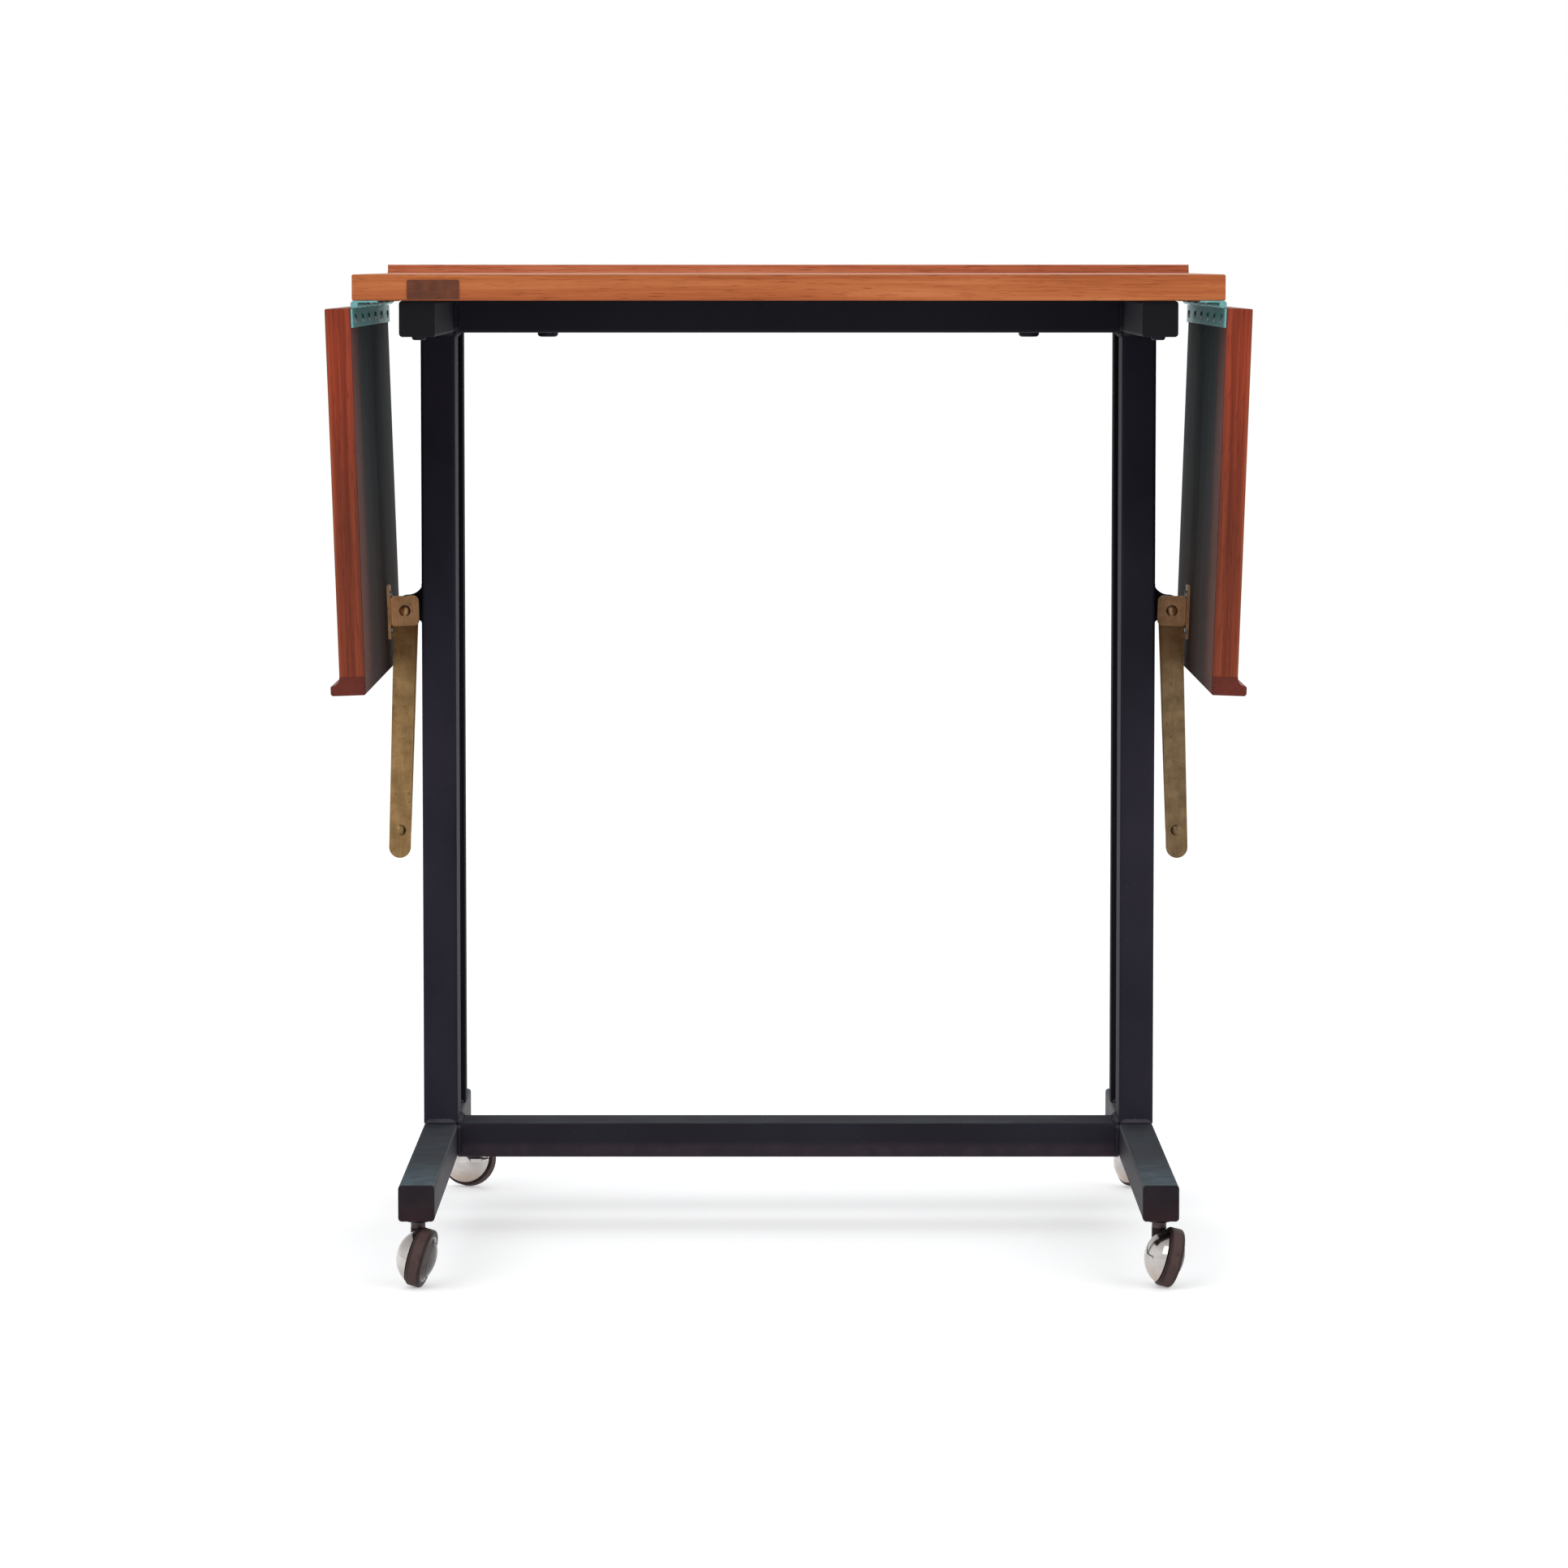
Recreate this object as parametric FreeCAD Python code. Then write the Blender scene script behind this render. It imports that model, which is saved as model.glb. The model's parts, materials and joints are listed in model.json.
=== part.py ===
import FreeCAD, Part
import math
import os

from FreeCAD import Vector

# Drop leaf tea trolley, in millimetres. +X is to the right, +Y to the back and +Z up.
# The origin is on the floor, under the middle of the top board.
# Everything that comes in pairs is modelled on the right and mirrored to the left,
# except the castors, which are all of one hand.

# ---- top board and mouldings -------------------------------------------------------
board_length = 600.0          # along X, between the hinges
board_depth = 420.0           # along Y, moulding included
board_thickness = 18.0
board_underside = 677.0       # height of the underside above the floor
edge_round = 1.2              # rounding of the long board edges

lip_height = 6.3              # how far a moulding stands above the top surface
lip_width = 7.0               # flat crest of the moulding
lip_nose = 1.3                # rounding of the crest towards the cove
lip_back_round = 2.0          # rounding of the crest away from the cove
lip_foot_round = 1.5          # rounding of the lower outer edge
lip_land = 1.0                # flat strip between cove and glue line

plate_length = 36.0           # blank plate on the front edge
plate_height = 13.5
plate_thickness = 0.8
plate_from_left = 37.8        # from the board's left end
plate_above_underside = 0.8

# ---- leaves and hinges -------------------------------------------------------------
leaf_reach = 269.0            # hinge axis to the outer end of the leaf
leaf_lean = 2.0               # degrees that a hanging leaf leans inwards
leaf_root_gap = 1.0           # gap between board and level leaf

knuckle_radius = 2.5
hinge_pin_radius = 1.05
hinge_pin_clearance = 0.05    # radial
hinge_axis_inset = 1.5        # hinge axis inside the board's end
hinge_plate_thickness = 1.2
hinge_plate_width = 16.0      # hinge axis to the plate's free edge
knuckle_count = 15
knuckle_gap = 0.5             # between neighbouring knuckles
knuckle_side_clearance = 0.5  # plate edge to the other plate's knuckles
hinge_screw_count = 6
hinge_screw_end = 27.5        # plate's end to the first screw
hinge_screw_inset = 10.0      # hinge axis to the line of screws

# ---- fasteners ---------------------------------------------------------------------
small_screw = dict(head_radius=3.0, head_height=1.2, shank_radius=1.5)
small_screw_grip = 10.0       # length of shank in the wood
arm_screw = dict(head_radius=5.0, head_height=2.4, shank_radius=2.2)
rail_bolt = dict(head_radius=7.5, head_height=3.2, shank_radius=3.0)
frame_screw_grip = 10.0
hole_slack = 0.03             # radial, of a hole around its screw or rivet

# ---- steel frame -------------------------------------------------------------------
tube_width = 25.0
tube_wall = 2.0
tube_corner = 2.5
post_depth = 50.0             # the front posts and both rails are 25 x 50 tube
frame_inset = 32.0            # board's end to the outer faces of posts, feet and arms
post_front = 60.0             # Y of the posts' front faces
foot_overhang = 53.0          # foot's ends beyond the board's front and back
arm_setback = 5.0             # arm's ends inside the board's front and back
cap_thickness = 2.0
cap_spigot_length = 10.0
cap_spigot_slack = 0.1
cap_spigot_corner = 1.0
rail_bolt_inset = 67.0        # rail's end to its bolt
arm_screw_setback = 30.0      # board's front edge to the front screw of each arm

# ---- folding stays -----------------------------------------------------------------
stay_pivot_inset = 42.3       # leaf's outer end to the leaf pivot
stay_pivot_drop = 11.7        # leaf underside to the leaf pivot
post_pivot_outset = 11.5      # post face to the post pivot
post_pivot_lift = 0.4         # above one stay reach below the board's underside
stay_lean = 1.8               # degrees that the folded stay leans outwards
link_width = 16.0
link_thickness = 2.5
link_tail = 20.5              # leaf link beyond the knee rivet
layer_gap = 0.5               # between neighbouring stay parts
bracket_thickness = 2.0
bracket_plate_length = 39.0
bracket_plate_width = 18.0
bracket_ear_length = 22.0
bracket_ear_beyond_pivot = 10.5
bracket_ear_round = 4.0
bracket_screw_pitch = 26.0
ear_thickness = 3.0
ear_tip_radius = 9.0
ear_upper_sweep = 11.5        # radius of the hollow edge from the post to the tip
ear_lower_sweep = 6.0         # the same below the tip
rivet_radius = 2.5
rivet_clearance = 0.05        # radial, in the link that turns on it
rivet_head_radius = 4.2
rivet_head_height = 1.6

# ---- castors -----------------------------------------------------------------------
castor_inset = 22.0           # foot end to stem axis
castor_trail = 11.0           # stem axis to wheel centre, along the rolling direction
castor_side_offset = 5.0      # stem axis to wheel centre, across it
wheel_tilt = 14.4             # degrees that the wheel's top leans away from the hood
tyre_radius = 20.5
tyre_width = 10.5
tyre_round = 2.0
tyre_band = 4.3               # tyre tread to hub
hub_recess = 0.4              # hub face below the tyre's face, on the hood side
hub_shoulder = 1.0            # hub's edge to the foot of its dome
hub_dome_height = 4.8
axle_radius = 2.5
running_clearance = 0.05      # radial, of axle and stem in their bores
press_slack = 0.05            # radial, of parts held fast
hood_gap = 0.8                # tyre face to hood rim
hood_rim_inset = 1.9          # tyre tread to hood rim
hood_height = 11.2            # rim plane to the crown of the dome
hood_wall = 1.5
hood_boss_radius = 5.0        # boss around the axle, inside the dome
neck_radius = 5.2
neck_drop = 1.1               # hood neck's top below twice the tyre's radius
wheel_clearance = 0.7         # hood neck to tyre
stem_radius = 4.0
stem_collar_radius = 5.0
stem_collar_height = 3.7
stem_tail_radius = 2.6
stem_tail_length = 3.4
stem_headroom = 2.0           # stem's top to the socket's top
socket_flange_radius = 10.0   # against the foot
socket_flange_lower_radius = 7.4
socket_flange_height = 3.0
socket_radius = 7.0
socket_collar_gap = 0.4       # stem collar to the socket's flange
socket_headroom = 4.0         # socket's top to the foot's top

# Swivel angle of each castor at rest, seen from above, anticlockwise in degrees. At 0
# the hood is on the left of the wheel, and the wheel trails towards the front.
castor_heading = dict(front_left=-11.0, front_right=8.0, rear_left=70.0, rear_right=35.0)

# ---- places worked out from the sizes ----------------------------------------------
lip_cove = lip_height - lip_nose
moulding_width = lip_width + lip_cove + lip_land
board_top = board_underside + board_thickness
board_half = board_length / 2
half_depth = board_depth / 2
hinge_x = board_half - hinge_axis_inset
hinge_z = board_underside - knuckle_radius
hinge_screw_pitch = (board_depth - 2 * hinge_screw_end) / (hinge_screw_count - 1)
hang_turn = 90.0 + leaf_lean
leaf_root = hinge_axis_inset + leaf_root_gap
hub_radius = tyre_radius - tyre_band
hub_dome_radius = hub_radius - hub_shoulder
hood_rim_radius = tyre_radius - hood_rim_inset
neck_top = 2 * tyre_radius - neck_drop
stem_tail_bottom = neck_top - stem_tail_length
foot_underside = neck_top + stem_collar_height + socket_collar_gap + socket_flange_height
foot_top = foot_underside + tube_width
socket_top = foot_top - socket_headroom
stem_top = socket_top - stem_headroom
frame_half_width = board_half - frame_inset
frame_inner = frame_half_width - tube_width
tube_middle = frame_half_width - tube_width / 2
foot_length = board_depth + 2 * foot_overhang
arm_length = board_depth - 2 * arm_setback
arm_underside = board_underside - tube_width
post_middle = post_front + post_depth / 2
post_back = post_front + post_depth
rear_post_back = arm_length / 2
rear_post_front = rear_post_back - tube_width
rail_bolt_x = frame_inner - rail_bolt_inset
# Each arm's screws: one near the front, one midway between the two posts.
arm_screw_ys = (-half_depth + arm_screw_setback, (post_back + rear_post_front) / 2)
castor_y = foot_length / 2 - castor_inset
stay_pivot_reach = leaf_reach - stay_pivot_inset
post_pivot_height = board_underside - stay_pivot_reach + post_pivot_lift
ORIGIN = Vector(0, 0, 0)
UP = Vector(0, 0, 1)
BACK = Vector(0, 1, 0)
RIGHT = Vector(1, 0, 0)

parts = {}


def keep(name, solids):
    """Record one node: a solid, or a list of separate identical solids."""
    parts[name] = Part.makeCompound(solids) if isinstance(solids, list) else solids


def mirrored(shape):
    return shape.mirror(ORIGIN, RIGHT)


def moved(shape, x=0.0, y=0.0, z=0.0):
    copy = shape.copy()
    copy.translate(Vector(x, y, z))
    return copy


def turned(shape, centre, axis, degrees):
    copy = shape.copy()
    copy.rotate(centre, axis, degrees)
    return copy


def block(x, y, z):
    """A box from three (low, high) pairs."""
    corner = Vector(x[0], y[0], z[0])
    return Part.makeBox(x[1] - x[0], y[1] - y[0], z[1] - z[0], corner)


def span(middle, size):
    return middle - size / 2, middle + size / 2


def fused(pieces):
    return pieces[0].multiFuse(pieces[1:]).removeSplitter()


def edges_along(shape, axis, test=None):
    """Straight edges of a shape that run along an axis and pass a test on their middle."""
    found = []
    for edge in shape.Edges:
        start, end = edge.Vertexes[0].Point, edge.Vertexes[-1].Point
        if (end - start).cross(axis).Length > 1e-6 or edge.Length < 1e-6:
            continue
        if test is None or test((start + end) * 0.5):
            found.append(edge)
    return found


def rounded_rectangle(width, height, radius):
    """A face in the XY plane, centred on the origin."""
    plate = Part.makePlane(width, height, Vector(-width / 2, -height / 2, 0))
    solid = plate.extrude(UP)
    solid = solid.makeFillet(radius, edges_along(solid, UP))
    return min(solid.Faces, key=lambda face: face.CenterOfMass.z)


def bar(width, height, radius, length):
    return rounded_rectangle(width, height, radius).extrude(UP * length)


def tube(width, height, length):
    """Square or rectangular steel tube, standing on the XY plane."""
    inner_corner = tube_corner - tube_wall
    hollow = bar(width - 2 * tube_wall, height - 2 * tube_wall, inner_corner, length)
    return bar(width, height, tube_corner, length).cut(hollow)


def laid_back(shape):
    """Lay a standing tube down, so that it runs towards +Y."""
    return turned(shape, ORIGIN, RIGHT, -90)


def laid_right(shape):
    """Lay a standing tube down, so that it runs towards +X."""
    return turned(shape, ORIGIN, BACK, 90)


# ---- fasteners ---------------------------------------------------------------------
def screw(size, length):
    """A round-head screw, shank up, with its head under the XY plane."""
    height, radius = size["head_height"], size["head_radius"]
    head = Part.makeCylinder(radius, height, Vector(0, 0, -height))
    rim = [edge for edge in head.Edges
           if edge.Closed and abs(edge.CenterOfMass.z + height) < 1e-6]
    head = head.makeFillet(0.75 * height, rim)
    slot = block(span(0, 2 * radius), span(0, 0.25 * radius), (-height, -0.6 * height))
    return fused([head.cut(slot), Part.makeCylinder(size["shank_radius"], length)])


def screw_hole(size, low, high, x, y):
    radius = size["shank_radius"] + hole_slack
    return Part.makeCylinder(radius, high - low, Vector(x, y, low))


def rivet(x, z, front, back, heads):
    """A rivet along Y with a domed head at its front or back end."""
    body = Part.makeCylinder(rivet_radius, back - front, Vector(x, front, z), BACK)
    pieces = [body]
    ball = (rivet_head_radius ** 2 + rivet_head_height ** 2) / (2 * rivet_head_height)
    for end, side in ((front, -1), (back, 1)):
        if side not in heads:
            continue
        centre = end - side * (ball - rivet_head_height)
        dome = Part.makeSphere(ball, Vector(x, centre, z))
        keep_y = (end, end + side * 2 * ball)
        slab = block(span(x, 4 * ball), (min(keep_y), max(keep_y)), span(z, 4 * ball))
        pieces.append(dome.common(slab))
    return fused(pieces)


# ---- wood --------------------------------------------------------------------------
def arc(centre_x, centre_z, radius, start, end):
    """An arc in the XZ plane, with its angles in degrees from +X towards +Z."""
    def point(angle):
        turn = math.radians(angle)
        return Vector(centre_x + radius * math.cos(turn), 0, centre_z + radius * math.sin(turn))
    return Part.Arc(point(start), point((start + end) / 2), point(end)).toShape()


def chain(edges):
    """Join edges given in order into a closed wire, with straight runs between them."""
    joined = []
    for edge, following in zip(edges, edges[1:] + edges[:1]):
        joined.append(edge)
        start = edge.lastVertex().Point
        end = following.firstVertex().Point
        if (end - start).Length > 1e-6:
            joined.append(Part.makeLine(start, end))
    return Part.Wire(joined)


def moulding(length):
    """Edge moulding with a cove: glue line at x = 0, underside at z = 0, along +Y."""
    crest = board_thickness + lip_height
    outer = moulding_width
    inner = outer - lip_width
    glue_line = Part.makeLine(Vector(0, 0, board_thickness), Vector(0, 0, 0))
    nose_z = crest - lip_nose
    outline = chain([
        glue_line,
        arc(outer - lip_foot_round, lip_foot_round, lip_foot_round, 270, 360),
        arc(outer - lip_back_round, crest - lip_back_round, lip_back_round, 0, 90),
        arc(inner + lip_nose, nose_z, lip_nose, 90, 180),
        arc(inner - lip_cove, nose_z, lip_cove, 360, 270),
    ])
    return Part.Face(outline).extrude(BACK * length)


def hinge_screw_rows():
    middle = (hinge_screw_count - 1) / 2
    return [(row - middle) * hinge_screw_pitch for row in range(hinge_screw_count)]


def make_top():
    low, high = board_underside, board_underside + small_screw_grip
    board = block(span(0, board_length), (-half_depth, half_depth - moulding_width),
                  (board_underside, board_top))
    ends = edges_along(board, BACK)
    fronts = edges_along(board, RIGHT, lambda point: point.y < 0)
    board = board.makeFillet(edge_round, ends + fronts)
    hinge_line = hinge_x - hinge_screw_inset
    holes = [screw_hole(small_screw, low, high, side * hinge_line, y)
             for side in (-1, 1) for y in hinge_screw_rows()]
    high = board_underside + frame_screw_grip
    holes += [screw_hole(rail_bolt, low, high, side * rail_bolt_x, post_middle)
              for side in (-1, 1)]
    holes += [screw_hole(arm_screw, low, high, side * tube_middle, y)
              for side in (-1, 1) for y in arm_screw_ys]
    keep("top_board", board.cut(holes))

    strip = turned(moulding(board_length), ORIGIN, UP, 90)
    keep("back_moulding", moved(strip, board_half, half_depth - moulding_width, board_underside))

    left = -board_half + plate_from_left
    low = board_underside + plate_above_underside
    keep("blank_plate", block((left, left + plate_length),
                              (-half_depth - plate_thickness, -half_depth),
                              (low, low + plate_height)))


# ---- steel frame -------------------------------------------------------------------
def end_cap():
    """A plug for a square tube's end: its plate is at y = 0 and its spigot points to +Y."""
    spigot_width = tube_width - 2 * tube_wall - 2 * cap_spigot_slack
    plate = bar(tube_width, tube_width, tube_corner, cap_thickness)
    spigot = bar(spigot_width, spigot_width, cap_spigot_corner, cap_spigot_length)
    return laid_back(fused([plate, moved(spigot, z=cap_thickness)]))


def capped_tube_places(length, z):
    """Both end caps of a tube that runs along Y, centred on y = 0."""
    front = moved(end_cap(), y=-length / 2)
    back = turned(front, ORIGIN, UP, 180)
    return [moved(cap, x=side * tube_middle, z=z) for cap in (front, back) for side in (-1, 1)]


def make_frame():
    post = moved(tube(tube_width, post_depth, arm_underside - foot_top),
                 tube_middle, post_middle, foot_top)
    keep("right_post", post)
    keep("left_post", mirrored(post))

    rear = moved(tube(tube_width, tube_width, arm_underside - foot_top),
                 tube_middle, rear_post_front + tube_width / 2, foot_top)
    keep("right_rear_post", rear)
    keep("left_rear_post", mirrored(rear))

    foot_z = foot_underside + tube_width / 2
    foot_run = foot_length - 2 * cap_thickness
    foot = moved(laid_back(tube(tube_width, tube_width, foot_run)),
                 tube_middle, -foot_run / 2, foot_z)
    socket_holes = [Part.makeCylinder(socket_radius + press_slack, tube_width / 2,
                                      Vector(tube_middle, side * castor_y, foot_underside - 1))
                    for side in (-1, 1)]
    foot = foot.cut(socket_holes)
    keep("right_foot", foot)
    keep("left_foot", mirrored(foot))

    arm_z = board_underside - tube_width / 2
    arm_run = arm_length - 2 * cap_thickness
    arm = moved(laid_back(tube(tube_width, tube_width, arm_run)),
                tube_middle, -arm_run / 2, arm_z)
    arm = arm.cut([screw_hole(arm_screw, arm_underside, board_underside, tube_middle, y)
                   for y in arm_screw_ys])
    keep("right_arm", arm)
    keep("left_arm", mirrored(arm))

    rail = moved(laid_right(tube(tube_width, post_depth, 2 * frame_inner)),
                 -frame_inner, post_middle)
    keep("bottom_rail", moved(rail, z=foot_z))
    keep("top_rail", moved(rail, z=arm_z).cut(
        [screw_hole(rail_bolt, arm_underside, board_underside, side * rail_bolt_x, post_middle)
         for side in (-1, 1)]))

    keep("tube_end_caps", capped_tube_places(foot_length, foot_z)
         + capped_tube_places(arm_length, arm_z))

    length = tube_width + frame_screw_grip
    keep("rail_bolts", [moved(screw(rail_bolt, length), side * rail_bolt_x, post_middle,
                              arm_underside) for side in (-1, 1)])
    keep("arm_screws", [moved(screw(arm_screw, length), side * tube_middle, y, arm_underside)
                        for side in (-1, 1) for y in arm_screw_ys])

    flange = Part.makeCone(socket_flange_lower_radius, socket_flange_radius,
                           socket_flange_height)
    sleeve = Part.makeCylinder(socket_radius, socket_top - foot_underside + socket_flange_height)
    bore = Part.makeCylinder(stem_radius + running_clearance, socket_top)
    socket = flange.fuse(sleeve).removeSplitter().cut(bore)
    keep("castor_sockets", [moved(socket, side * tube_middle, end * castor_y,
                                  foot_underside - socket_flange_height)
                            for side in (-1, 1) for end in (-1, 1)])


# ---- hinges ------------------------------------------------------------------------
# A hinge half is modelled with the hinge axis on the Y axis and its plate towards +X,
# flat against wood whose underside is one knuckle radius above the axis.
def knuckle_spans(first):
    pitch = board_depth / knuckle_count
    for index in range(first, knuckle_count, 2):
        start = -half_depth + index * pitch
        yield start + knuckle_gap / 2, start + pitch - knuckle_gap / 2


def hinge_half(first):
    plate_z = (knuckle_radius - hinge_plate_thickness, knuckle_radius)
    plate_edge = knuckle_radius + knuckle_side_clearance
    pieces = [block((plate_edge, hinge_plate_width), (-half_depth, half_depth), plate_z)]
    for start, end in knuckle_spans(first):
        barrel = Part.makeCylinder(knuckle_radius, end - start, Vector(0, start, 0), BACK)
        pieces += [barrel, block((0, plate_edge + 1), (start, end), plate_z)]
    bore = Part.makeCylinder(hinge_pin_radius + hinge_pin_clearance, board_depth,
                             Vector(0, -half_depth, 0), BACK)
    holes = [screw_hole(small_screw, 0, 2 * knuckle_radius, hinge_screw_inset, y)
             for y in hinge_screw_rows()]
    return fused(pieces).cut([bore] + holes)


def hinge_screws():
    body = screw(small_screw, small_screw_grip + hinge_plate_thickness)
    top_of_head = knuckle_radius - hinge_plate_thickness
    return [moved(body, hinge_screw_inset, y, top_of_head) for y in hinge_screw_rows()]


def at_hinge(shape):
    return moved(shape, hinge_x, 0, hinge_z)


def make_board_hinges():
    half = at_hinge(mirrored(hinge_half(0)))
    screws = [at_hinge(mirrored(body)) for body in hinge_screws()]
    pin = at_hinge(Part.makeCylinder(hinge_pin_radius, board_depth,
                                     Vector(0, -half_depth, 0), BACK))
    keep("board_hinge_plates", [half, mirrored(half)])
    keep("board_hinge_screws", screws + [mirrored(body) for body in screws])
    keep("hinge_pins", [pin, mirrored(pin)])


# ---- folding stays -----------------------------------------------------------------
# The stay's parts lie side by side along Y: leaf bracket, leaf link, post link, post ear.
stack_depth = bracket_thickness + 2 * link_thickness + ear_thickness + 3 * layer_gap
bracket_y = (post_middle - stack_depth / 2, post_middle - stack_depth / 2 + bracket_thickness)
leaf_link_y = (bracket_y[1] + layer_gap, bracket_y[1] + layer_gap + link_thickness)
post_link_y = (leaf_link_y[1] + layer_gap, leaf_link_y[1] + layer_gap + link_thickness)
ear_y = (post_link_y[1] + layer_gap, post_link_y[1] + layer_gap + ear_thickness)

# Leaf pivot with the leaf level, relative to the hinge axis.
pivot_level = Vector(stay_pivot_reach, 0, knuckle_radius - stay_pivot_drop)


def leaf_point(turn):
    """The leaf pivot when the leaf hangs turn degrees below level."""
    point = FreeCAD.Rotation(BACK, turn).multVec(pivot_level)
    return point + Vector(hinge_x, 0, hinge_z)


leaf_pivot = leaf_point(hang_turn)
post_pivot = Vector(frame_half_width + post_pivot_outset, 0, post_pivot_height)
# The two links together just reach from pivot to pivot when the leaf is level.
stay_length = (leaf_point(0) - post_pivot).Length
knee = (leaf_pivot + post_pivot) * 0.5 + FreeCAD.Rotation(BACK, -stay_lean).multVec(
    Vector(0, 0, -stay_length / 2))


def stadium(start, end, radius, y):
    """A flat bar with round ends about two points, lying in the XZ plane."""
    along = (end - start).normalize()
    angle = math.degrees(math.atan2(along.z, along.x))
    outline = chain([arc(start.x, start.z, radius, angle + 90, angle + 270),
                     arc(end.x, end.z, radius, angle - 90, angle + 90)])
    return moved(Part.Face(outline).extrude(BACK * (y[1] - y[0])), y=y[0])


def rivet_hole(point, y, slack):
    return Part.makeCylinder(rivet_radius + slack, y[1] - y[0], Vector(point.x, y[0], point.z),
                             BACK)


def make_bracket():
    """The stay bracket on a level leaf, with the hinge axis on the Y axis."""
    reach, pivot_z = pivot_level.x, pivot_level.z
    plate_y = (bracket_y[1] - bracket_plate_width, bracket_y[1])
    plate = block(span(reach, bracket_plate_length), plate_y,
                  (knuckle_radius - bracket_thickness, knuckle_radius))
    ear = block(span(reach, bracket_ear_length), bracket_y,
                (pivot_z - bracket_ear_beyond_pivot, knuckle_radius))
    lower = edges_along(ear, BACK, lambda point: point.z < pivot_z)
    ear = ear.makeFillet(bracket_ear_round, lower)
    return fused([plate, ear])


def bracket_screw_places():
    y = bracket_y[1] - bracket_plate_width / 2
    return [(stay_pivot_reach + side * bracket_screw_pitch / 2, y) for side in (-1, 1)]


def make_ear():
    """Plate on the post's outer face, with a round tip about the post pivot and hollow edges
    that sweep from the post to the tip."""
    face_x, tip = frame_half_width, post_pivot
    upper, lower = tip.z + ear_tip_radius, tip.z - ear_tip_radius
    outline = chain([
        arc(face_x + ear_lower_sweep, lower - ear_lower_sweep, ear_lower_sweep, 180, 90),
        arc(tip.x, tip.z, ear_tip_radius, -90, 90),
        arc(face_x + ear_upper_sweep, upper + ear_upper_sweep, ear_upper_sweep, 270, 180),
    ])
    plate = moved(Part.Face(outline).extrude(BACK * ear_thickness), y=ear_y[0])
    return plate.cut(rivet_hole(tip, ear_y, hole_slack))


def make_stays():
    leaf_end = knee + (knee - leaf_pivot).normalize() * (link_tail - link_width / 2)
    leaf_link = stadium(leaf_pivot, leaf_end, link_width / 2, leaf_link_y).cut(
        [rivet_hole(leaf_pivot, leaf_link_y, rivet_clearance),
         rivet_hole(knee, leaf_link_y, hole_slack)])
    post_link = stadium(post_pivot, knee, link_width / 2, post_link_y).cut(
        [rivet_hole(post_pivot, post_link_y, rivet_clearance)])
    knee_rivet = rivet(knee.x, knee.z, leaf_link_y[0], leaf_link_y[1], (-1,))
    post_rivet = rivet(post_pivot.x, post_pivot.z, post_link_y[0], ear_y[1], (1,))
    ear = make_ear()
    keep("stay_ears", [ear, mirrored(ear)])
    keep("stay_ear_rivets", [post_rivet, mirrored(post_rivet)])
    for name, solid in (("leaf_link", leaf_link), ("post_link", post_link),
                        ("knee_rivet", knee_rivet)):
        keep("right_" + name, solid)
        keep("left_" + name, mirrored(solid))


# ---- leaves ------------------------------------------------------------------------
def hung(shape):
    """Move a part of a level leaf from the origin to the right-hand hinge and let it hang."""
    return turned(at_hinge(shape), Vector(hinge_x, 0, hinge_z), BACK, hang_turn)


def make_leaves():
    underside = knuckle_radius
    panel_end = leaf_reach - moulding_width
    panel = block((leaf_root, panel_end), span(0, board_depth),
                  (underside, underside + board_thickness))
    root = edges_along(panel, BACK, lambda point: point.x < panel_end - 1)
    panel = panel.makeFillet(edge_round, root + edges_along(panel, RIGHT))
    bracket_screws = bracket_screw_places()
    high = underside + small_screw_grip
    wood_holes = [screw_hole(small_screw, underside, high, hinge_screw_inset, y)
                  for y in hinge_screw_rows()]
    wood_holes += [screw_hole(small_screw, underside, high, x, y) for x, y in bracket_screws]
    strip = moved(moulding(board_depth), panel_end, -half_depth, underside)

    pivot = pivot_level
    bracket = make_bracket().cut(
        [screw_hole(small_screw, underside - 2 * bracket_thickness, underside, x, y)
         for x, y in bracket_screws] + [rivet_hole(pivot, bracket_y, hole_slack)])
    bracket_body = screw(small_screw, small_screw_grip + bracket_thickness)
    screws = hinge_screws() + [moved(bracket_body, x, y, underside - bracket_thickness)
                               for x, y in bracket_screws]
    leaf_rivet = rivet(pivot.x, pivot.z, bracket_y[0], leaf_link_y[1], (-1,))

    pieces = dict(leaf_panel=panel.cut(wood_holes), leaf_moulding=strip,
                  leaf_hinge_plate=hinge_half(1), leaf_screws=Part.makeCompound(screws),
                  stay_bracket=bracket, stay_bracket_rivet=leaf_rivet)
    for name, solid in pieces.items():
        right = hung(solid)
        keep("right_" + name, right)
        keep("left_" + name, mirrored(right))


# ---- castors -----------------------------------------------------------------------
# A wheel is modelled with its centre at the origin and its axle along +Z, which is the
# side away from the hood, and then tilted and set beside the stem.
tilt = math.radians(wheel_tilt)
wheel_height = ((tyre_radius - tyre_round) * math.cos(tilt)
                + (tyre_width / 2 - tyre_round) * math.sin(tilt) + tyre_round)
hood_rim = -tyre_width / 2 - hood_gap


def ring(outer, inner, low, high):
    solid = Part.makeCylinder(outer, high - low, Vector(0, 0, low))
    return solid.cut(Part.makeCylinder(inner, high - low, Vector(0, 0, low)))


def cap_of_ball(base_radius, height, base_z, side, shrink=0.0):
    """The cap of a ball on one side of a plane; shrink makes the ball smaller."""
    ball = (base_radius ** 2 + height ** 2) / (2 * height)
    centre = base_z + side * (height - ball)
    reach = (base_z, base_z + side * 2 * ball)
    slab = block(span(0, 4 * ball), span(0, 4 * ball), (min(reach), max(reach)))
    return Part.makeSphere(ball - shrink, Vector(0, 0, centre)).common(slab)


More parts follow.
